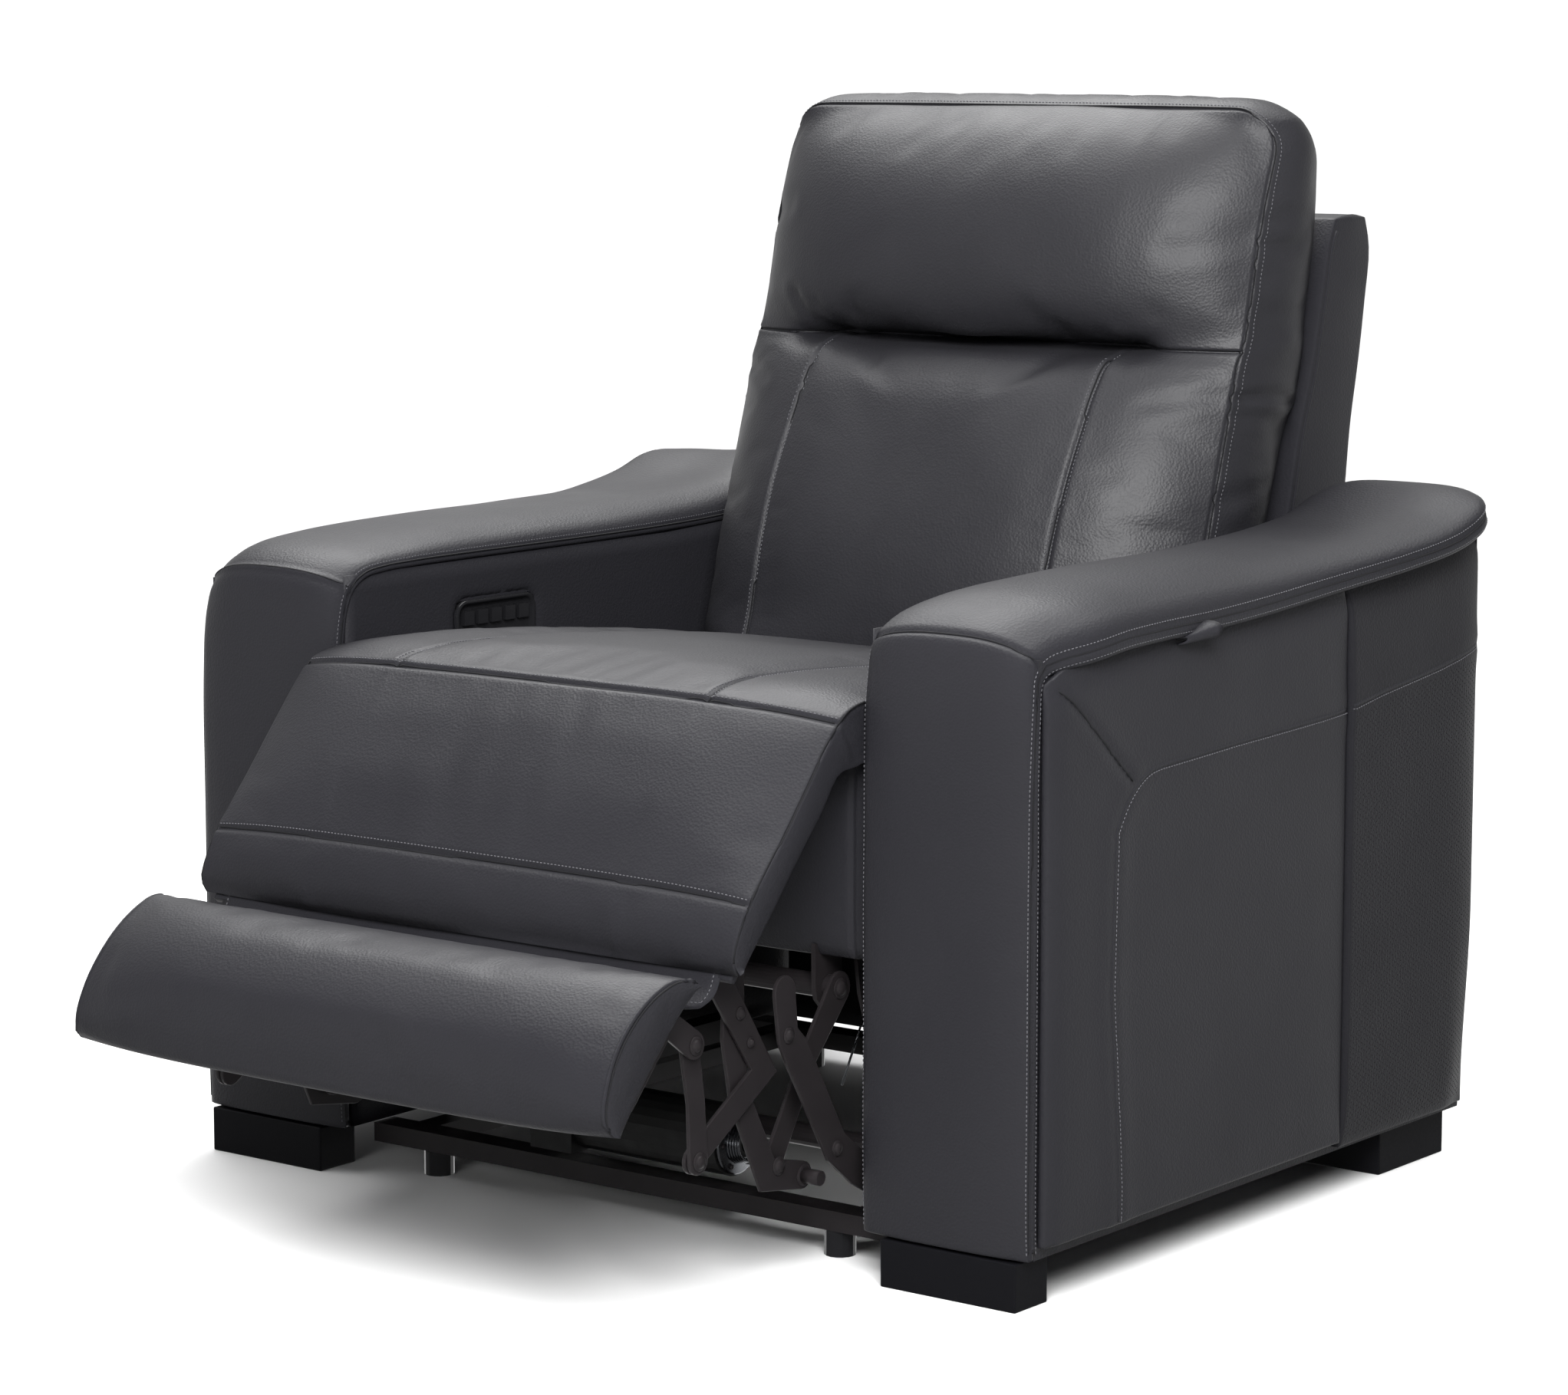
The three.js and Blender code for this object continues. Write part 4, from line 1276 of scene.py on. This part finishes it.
def grid_quads(rows, columns):
    """Quads between points that are numbered row by row."""
    starts = [i * columns + j for i in range(rows - 1) for j in range(columns - 1)]
    return [(a, a + columns, a + columns + 1, a + 1) for a in starts]


def two_sided(name, front, back, quads, material):
    """A closed sheet: its front, its back, and a strip round the borders of the two."""
    count = len(front)
    faces = quads + [tuple(i + count for i in quad) for quad in quads]
    edges = [(p, q) for quad in quads for p, q in zip(quad, quad[1:] + quad[:1])]
    paired = set(edges)
    faces += [(q, p, p + count, q + count) for p, q in edges if (q, p) not in paired]
    return closed_piece(name, place(np.concatenate([front, back])), faces, material)


SNAP_REACH = 2.6


def thick_sheet(name, us, vs, surface, thickness, hole=None):
    """A leather sheet with thickness in X, open inside hole, to whose outline its near points are moved."""
    flat = np.stack(np.meshgrid(us, vs, indexing="ij"), axis=-1).reshape(-1, 2)
    quads = grid_quads(len(us), len(vs))
    if hole is not None:
        ring = np.concatenate([hole, hole[:1]])
        dense = np.concatenate([np.linspace(p, q, 9)[:-1] for p, q in zip(ring[:-1], ring[1:])])
        gap = np.linalg.norm(dense[None] - flat[:, None], axis=-1)
        flat = np.where(gap.min(1)[:, None] < SNAP_REACH, dense[gap.argmin(1)], flat)
        quads = [quad for quad in quads if not inside_outline(*flat[list(quad)].mean(axis=0), hole)]
    front = path_of(*surface(*flat.T))
    return two_sided(name, front, front + [thickness, 0, 0], quads, LEATHER)


CONTROL_HOLE = rounded_rectangle(CONTROL_LOW[1:] - 0.5, CONTROL_HIGH[1:] + 0.5, 15)


def inner_cover_surface(side):
    def surface(y, z):
        top = np.interp(y, [497, 586, 675, 709, 733, 750], [598, 602, 610, 616, 624, 631]) - 596
        z = z + top * np.clip((z - 530) / 66, 0, 1)
        puff = 1.2 * np.sin(np.pi * np.clip((z - ARM_LOW_Z) / 545, 0, 1))
        x = ARM_INNER - 1.6 - puff
        if side < 0:
            ring = np.concatenate([CONTROL_HOLE, CONTROL_HOLE[:1]])
            x = x + 2.2 * bell(distance_to_path(y, z, ring), 6)
        return side * x, y, z
    return surface


def add_arm_inner(name, side):
    """Leather over the arm frame's inner and rear faces, open round the controls."""
    ys = lines(ARM_FRONT, ARM_REAR - 0.5, 16, (190, 250), range(4, 45, 4))
    zs = lines(ARM_LOW_Z + 1, 596, 16, (530,), range(4, 37, 4))
    hole = CONTROL_HOLE if side < 0 else None
    cover = thick_sheet(f"arm_inner_cover_{name}", ys, zs, inner_cover_surface(side), side * 2.0, hole)

    def rear_shape(u, v, w):
        x = ARM_INNER + 1 + (ARM_OUTER + 8 - ARM_INNER) * u
        z = ARM_LOW_Z + 1 + (636 + 10 * u - ARM_LOW_Z) * v
        x = x - 9 * u**6 * (1 - smoothstep(60, 260, z))
        crown = (1 - (2 * u - 1) ** 6) * (1 - (2 * v - 1) ** 10)
        return side * x, ARM_REAR + 0.2 + w * (1.5 + 3.5 * crown), z

    across = lines(0, 1, 0.06, (0, 1), (0.01,))
    up = lines(0, 1, 0.03, (0, 1), (0.01,))
    rear = block_piece(f"arm_rear_cover_{name}", (across, up, [0, 1]), rear_shape, LEATHER, 2)
    ride_all("base", cover, rear)


def add_controls():
    """A glossy dished bezel round the five push buttons."""
    low, high = CONTROL_LOW, CONTROL_HIGH
    face = high[0]
    middle = (low[1:] + high[1:]) / 2
    rings = [(0.5, face - 6), (0.5, face + 0.6), (-0.6, face + 1.9), (-2.2, face + 2.1), (-3.6, face + 1.2),
             (-4.6, face - 0.6), (-5.6, face - 2.2), (-8.5, face - 2.9)]
    points = []
    for grow, x in rings:
        outline = rounded_rectangle(low[1:] - grow, high[1:] + grow, 15 + grow * 0.8)
        points += [(x, y, z) for y, z in outline]
    count = len(outline)
    faces = ring_quads(len(rings), count)
    last = len(points)
    points += [(face - 2.9, *middle), (face - 6, *middle)]
    for i in range(count):
        j = (i + 1) % count
        faces.append((last - count + i, last - count + j, last))
        faces.append((j, i, last + 1))
    bezel = closed_piece("control_panel", place(points), faces, GLOSS)
    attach(bezel, "base")
    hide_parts("control_bezel")


def add_pull_tab(name, side):
    """A folded loop of leather that stands out from under the arm's welt, more at its rear edge."""
    columns, steps, thick = 7, 26, 1.7
    t, turn = np.meshgrid(np.linspace(0, 1, columns), np.linspace(0, 1, steps), indexing="ij")
    bow = np.clip(1 - np.abs(2 * turn - 1) ** 2.4, 0, 1) ** 0.7
    sway = 3 * np.sin(np.pi * turn)
    layers = []
    for inset in (0, thick):
        x = FLAP_OUTER - 7 + (9 + 17 * t) * bow - inset * 0.9
        drop = (3.4 + 4.2 * t - inset) * np.cos(np.pi * turn) * (1.4 - 0.5 * turn)
        layers.append(path_of(side * x, 199 + 32 * t + sway, 580 + 7 * t + sway + drop).reshape(-1, 3))
    tab = two_sided(f"pull_tab_{name}", *layers, grid_quads(columns, steps), LEATHER)
    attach(tab, f"pocket_flap_{name}")
    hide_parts(f"flap_pull_tab_{name}")


def bevelled_box(name, node, material, bevel, body):
    """A block the size of a CAD node, with worn, rounded edges."""
    low, high = drawn_box(node)
    shape = bmesh.new()
    bmesh.ops.create_cube(shape, size=1)
    size, middle = (high - low) * MM, place((low + high) / 2)
    for vertex in shape.verts:
        vertex.co = Vector(np.array(vertex.co) * size + middle)
    bmesh.ops.bevel(shape, geom=shape.edges, offset=bevel * MM, segments=3, profile=0.6, affect="EDGES")
    mesh = bpy.data.meshes.new(name)
    shape.to_mesh(mesh)
    shape.free()
    mesh.materials.append(material)
    piece = link_object(name, mesh)
    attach(piece, body)
    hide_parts(node)
    return piece


def add_arms():
    for name, side in SIDES:
        add_arm_strip(name, side)
        add_pocket_flap(name, side)
        add_rear_panel(name, side)
        add_arm_inner(name, side)
        add_pull_tab(name, side)
        for end in ("front", "rear"):
            block = bevelled_box(f"foot_block_{end}_{name}", f"arm_foot_{end}_{name}", FOOT, 2.0, "base")


# ---- rear cover and the steel linkage -------------------------------------------------------


def add_rear_cover():
    """Dark cloth stretched across the back below the back shell."""
    def shape(u, v, w):
        sag = 5 * np.sin(np.pi * v) * (1 - u**4)
        return u * 319, 703 + w * 1.6 - sag + 1.2 * np.sin(u * 13) * v, 38 + 286 * v

    cover = block_piece("rear_dust_cover", (lines(-1, 1, 0.04), lines(0, 1, 0.06), [0, 1]), shape, CLOTH, 1)
    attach(cover, "base")


def add_seat_cloth():
    """Dark cloth stapled under the seat box."""
    def shape(u, v, w):
        sag = 4 * (1 - u**4) * np.sin(np.pi * v)
        return u * 280, 60 + 460 * v, 287.5 + w * 1.6 - sag

    cloth = block_piece("seat_under_cloth", (lines(-1, 1, 0.05), lines(0, 1, 0.06), [0, 1]), shape, CLOTH, 1)
    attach(cloth, "carriage")


def link_outline(points, radii, steps=9):
    """Outline of a flat bar with round ends that follows points (y, z), with a radius at each."""
    points = np.asarray(points, float)
    headings = unit(np.diff(points, axis=0))
    left, right = [], []
    for i, (p, r) in enumerate(zip(points, radii)):
        before, after = headings[max(i - 1, 0)], headings[min(i, len(headings) - 1)]
        along = (before + after) / np.linalg.norm(before + after)
        normal = np.array([-along[1], along[0]])
        reach = r / max(normal @ [-before[1], before[0]], 0.6)
        left.append(p + normal * reach)
        right.append(p - normal * reach)

    def cap(centre, start, r):
        angles = math.atan2(*(start - centre)[::-1]) - math.pi * np.arange(1, steps) / steps
        return list(centre + r * np.stack([np.cos(angles), np.sin(angles)], axis=1))

    head, foot = cap(points[-1], left[-1], radii[-1]), cap(points[0], right[0], radii[0])
    return np.array(left + head + right[::-1] + foot)


def link_plate(name, body, side, x0, points, widths, thick=4.0):
    """A pressed steel bar lying in the (y, z) plane, its edges rounded."""
    outline = link_outline(points, widths)
    middle = outline.mean(axis=0)
    rings = ((0.0, 1.0), (0.35, 0.25), (1.0, 0.0), (thick - 1.0, 0.0), (thick - 0.35, 0.25), (thick, 1.0))
    inward = np.roll(outline, 1, axis=0) - np.roll(outline, -1, axis=0)
    inward = unit(np.stack([-inward[:, 1], inward[:, 0]], axis=1))
    if ((outline + inward - middle) ** 2).sum() > ((outline - inward - middle) ** 2).sum():
        inward = -inward
    layers = [np.insert(outline + inward * inset, 0, side * (x0 + depth), axis=1) for depth, inset in rings]
    faces = ring_faces(len(rings), len(outline))
    plate = closed_piece(name, place(np.concatenate(layers)), faces, STEEL)
    plate.data.polygons.foreach_set("use_smooth", [False] * len(plate.data.polygons))
    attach(plate, body)
    return plate


def lathe(name, centre, profile, side, material, body, sides=24):
    """A turned piece about the X direction: profile is rows of (x, radius)."""
    points = []
    for x, r in profile:
        for angle in np.arange(sides) * 2 * math.pi / sides:
            points.append((side * x, centre[0] + r * math.cos(angle), centre[1] + r * math.sin(angle)))
    piece = closed_piece(name, place(points), ring_faces(len(profile), sides), material)
    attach(piece, body)
    return piece


# distance out from the bar, then radius as a share of the rivet's
RIVET_PROFILE = [
    (-6, 0.5), (0, 0.5), (0, 1.25), (1.0, 1.25), (1.3, 1.1),
    (1.3, 0.85), (2.6, 0.8), (3.6, 0.6), (4.1, 0.3), (4.2, 0.05)]


def rivet(name, centre, x, side, body, radius):
    """A domed rivet head on a washer."""
    profile = [(x + out, radius * share) for out, share in RIVET_PROFILE]
    return lathe(name, centre, profile, side, STEEL, body, 18)


SHAFT = (15, 260)
SUPPORT_TOP = on_leg(190, -50)
LINK_JOINT = (-85, 114)
FOOT_LINK_FOOT, FOOT_LINK_HEAD = (-214, 145), (-226, 252)
CARRIER_END = (-48, 98)
# name of the CAD link, body, inner x of its layer, places along the bar, its half width at each
LINKS = [
    ("leg_arm", "leg_rest", 280,
     [on_leg(120, -42), on_leg(165, -46), SUPPORT_TOP, on_leg(245, -62), on_leg(270, -165), FOOT_LINK_FOOT],
     (13, 16, 17, 15, 13, 12.5)),
    ("support_link", "leg_support", 274,
     [SUPPORT_TOP, (-150, 245), (-141, 190), (-100, 108), CARRIER_END], (13, 15, 13, 15, 13)),
    ("drive_link", "leg_drive", 268, [SHAFT, (-30, 205), LINK_JOINT], (16, 12, 13)),
    ("foot_link", "foot_link", 286, [FOOT_LINK_FOOT, (-217, 200), FOOT_LINK_HEAD], (12.5, 11.5, 12.5)),
    ("foot_bracket", "footrest", 292, [FOOT_LINK_HEAD, on_leg(318, -4), on_leg(400, -4)], (13, 12, 11))]
CARRIER = [(-108, 281), (-103, 240), (-91, 224), (-32, 125), (2, 98), (28, 78)]
CARRIER_WIDTHS = (15, 14, 17, 16, 16, 11)
# place, x of the bar under the head, body and radius of each rivet
RIVETS = [
    (SUPPORT_TOP, 284, "leg_rest", 8), (on_leg(250, -100), 284, "leg_rest", 5),
    (FOOT_LINK_FOOT, 290, "leg_rest", 7), (on_leg(262, -130), 284, "leg_rest", 4),
    (LINK_JOINT, 278, "leg_support", 7), ((-141, 188), 278, "leg_support", 6),
    (CARRIER_END, 278, "leg_support", 8), (FOOT_LINK_HEAD, 296, "foot_link", 7),
    (SHAFT, 272, "leg_drive", 8), (on_leg(360, -4), 296, "footrest", 6),
    ((-104, 241), 304, "leg_support", 6), ((-32, 124), 304, "leg_support", 6),
    ((25, 80), 304, "leg_support", 8)]


def add_links(name, side):
    """The linkage of one side; each bar lies in the layer of the CAD link that it stands for."""
    for label, body, x, points, widths in LINKS:
        bar = link_plate(f"{label}_bar_{name}", body, side, x, points, widths)
        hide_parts(f"{label}_{name}")
    link_plate(f"carrier_bar_{name}", "leg_support", side, 300, CARRIER, CARRIER_WIDTHS)
    for number, (centre, x, body, radius) in enumerate(RIVETS):
        rivet(f"rivet_{number}_{name}", centre, x, side, body, radius)
    spacer = [(279, 6), (279, 7), (298, 7), (298, 6)]
    lathe(f"link_spacer_{name}", CARRIER_END, spacer, side, STEEL, "leg_support")
    path = place([(side * 296, y, z) for y, z in ((19, 236), (2, 206), (-14, 178))])
    wire = tube(f"return_wire_{name}", path, 1.1, CHROME)
    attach(wire, "carriage")


MOTOR_AXIS = (56, 86)
FLANGE_PROFILE = [
    (118, 8), (118, 30), (119, 32), (121, 32), (122, 30.5), (122, 13), (124, 11), (131, 11), (132, 9.5),
    (132, 0.5)]
BOLT_PROFILE = [(121, 2.6), (124, 2.6), (124.6, 2.0), (124.8, 0.4)]
BOLT_COUNT, BOLT_CIRCLE = 6, 26
SPRING_TURNS, SPRING_STEPS = 5, 24


def add_motor_end():
    """The flanged disc, its bolts and the spring on the end of the drive motor."""
    y, z = MOTOR_AXIS
    lathe("motor_flange", MOTOR_AXIS, FLANGE_PROFILE, 1, CHROME, "carriage", 36)
    t = np.linspace(0, SPRING_TURNS, SPRING_TURNS * SPRING_STEPS)
    radius, angle = 21 - t * 0.8, 2 * np.pi * t
    coil = path_of(122.5 + t * 2.6, y + radius * np.cos(angle), z + radius * np.sin(angle))
    spring = tube("motor_spring", place(coil), 1.3, CHROME, 8, up=np.tile([1.0, 0, 0], (len(t), 1)))
    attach(spring, "carriage")
    for i in range(BOLT_COUNT):
        angle = i * 2 * math.pi / BOLT_COUNT
        centre = (y + BOLT_CIRCLE * math.cos(angle), z + BOLT_CIRCLE * math.sin(angle))
        lathe(f"motor_bolt_{i}", centre, BOLT_PROFILE, 1, STEEL, "carriage", 6)


# ---- carried-over CAD nodes ---------------------------------------------------------------


FINISHES = {
    "painted_steel": STEEL, "black_plastic": GLOSS, "black_foot": FOOT, "under_cloth": CLOTH,
    "leather": LEATHER, "perforated_leather": PERFORATED}


def dress_cad_nodes():
    for row in frame["record"]["subparts"]:
        materials = frame["nodes"][row["node"]].data.materials
        materials.clear()
        materials.append(MOTOR if row["node"] == "drive_motor" else FINISHES[row["material_slot"]])


def main():
    add_camera()
    add_lights()
    add_floor()
    dress_cad_nodes()
    add_back_cushion()
    add_back_shell()
    add_seat()
    add_footrest()
    add_seat_front()
    add_leg_board()
    add_leg_flap()
    add_arms()
    add_controls()
    add_rear_cover()
    add_seat_cloth()
    for name, side in SIDES:
        add_links(name, side)
    add_motor_end()


main()
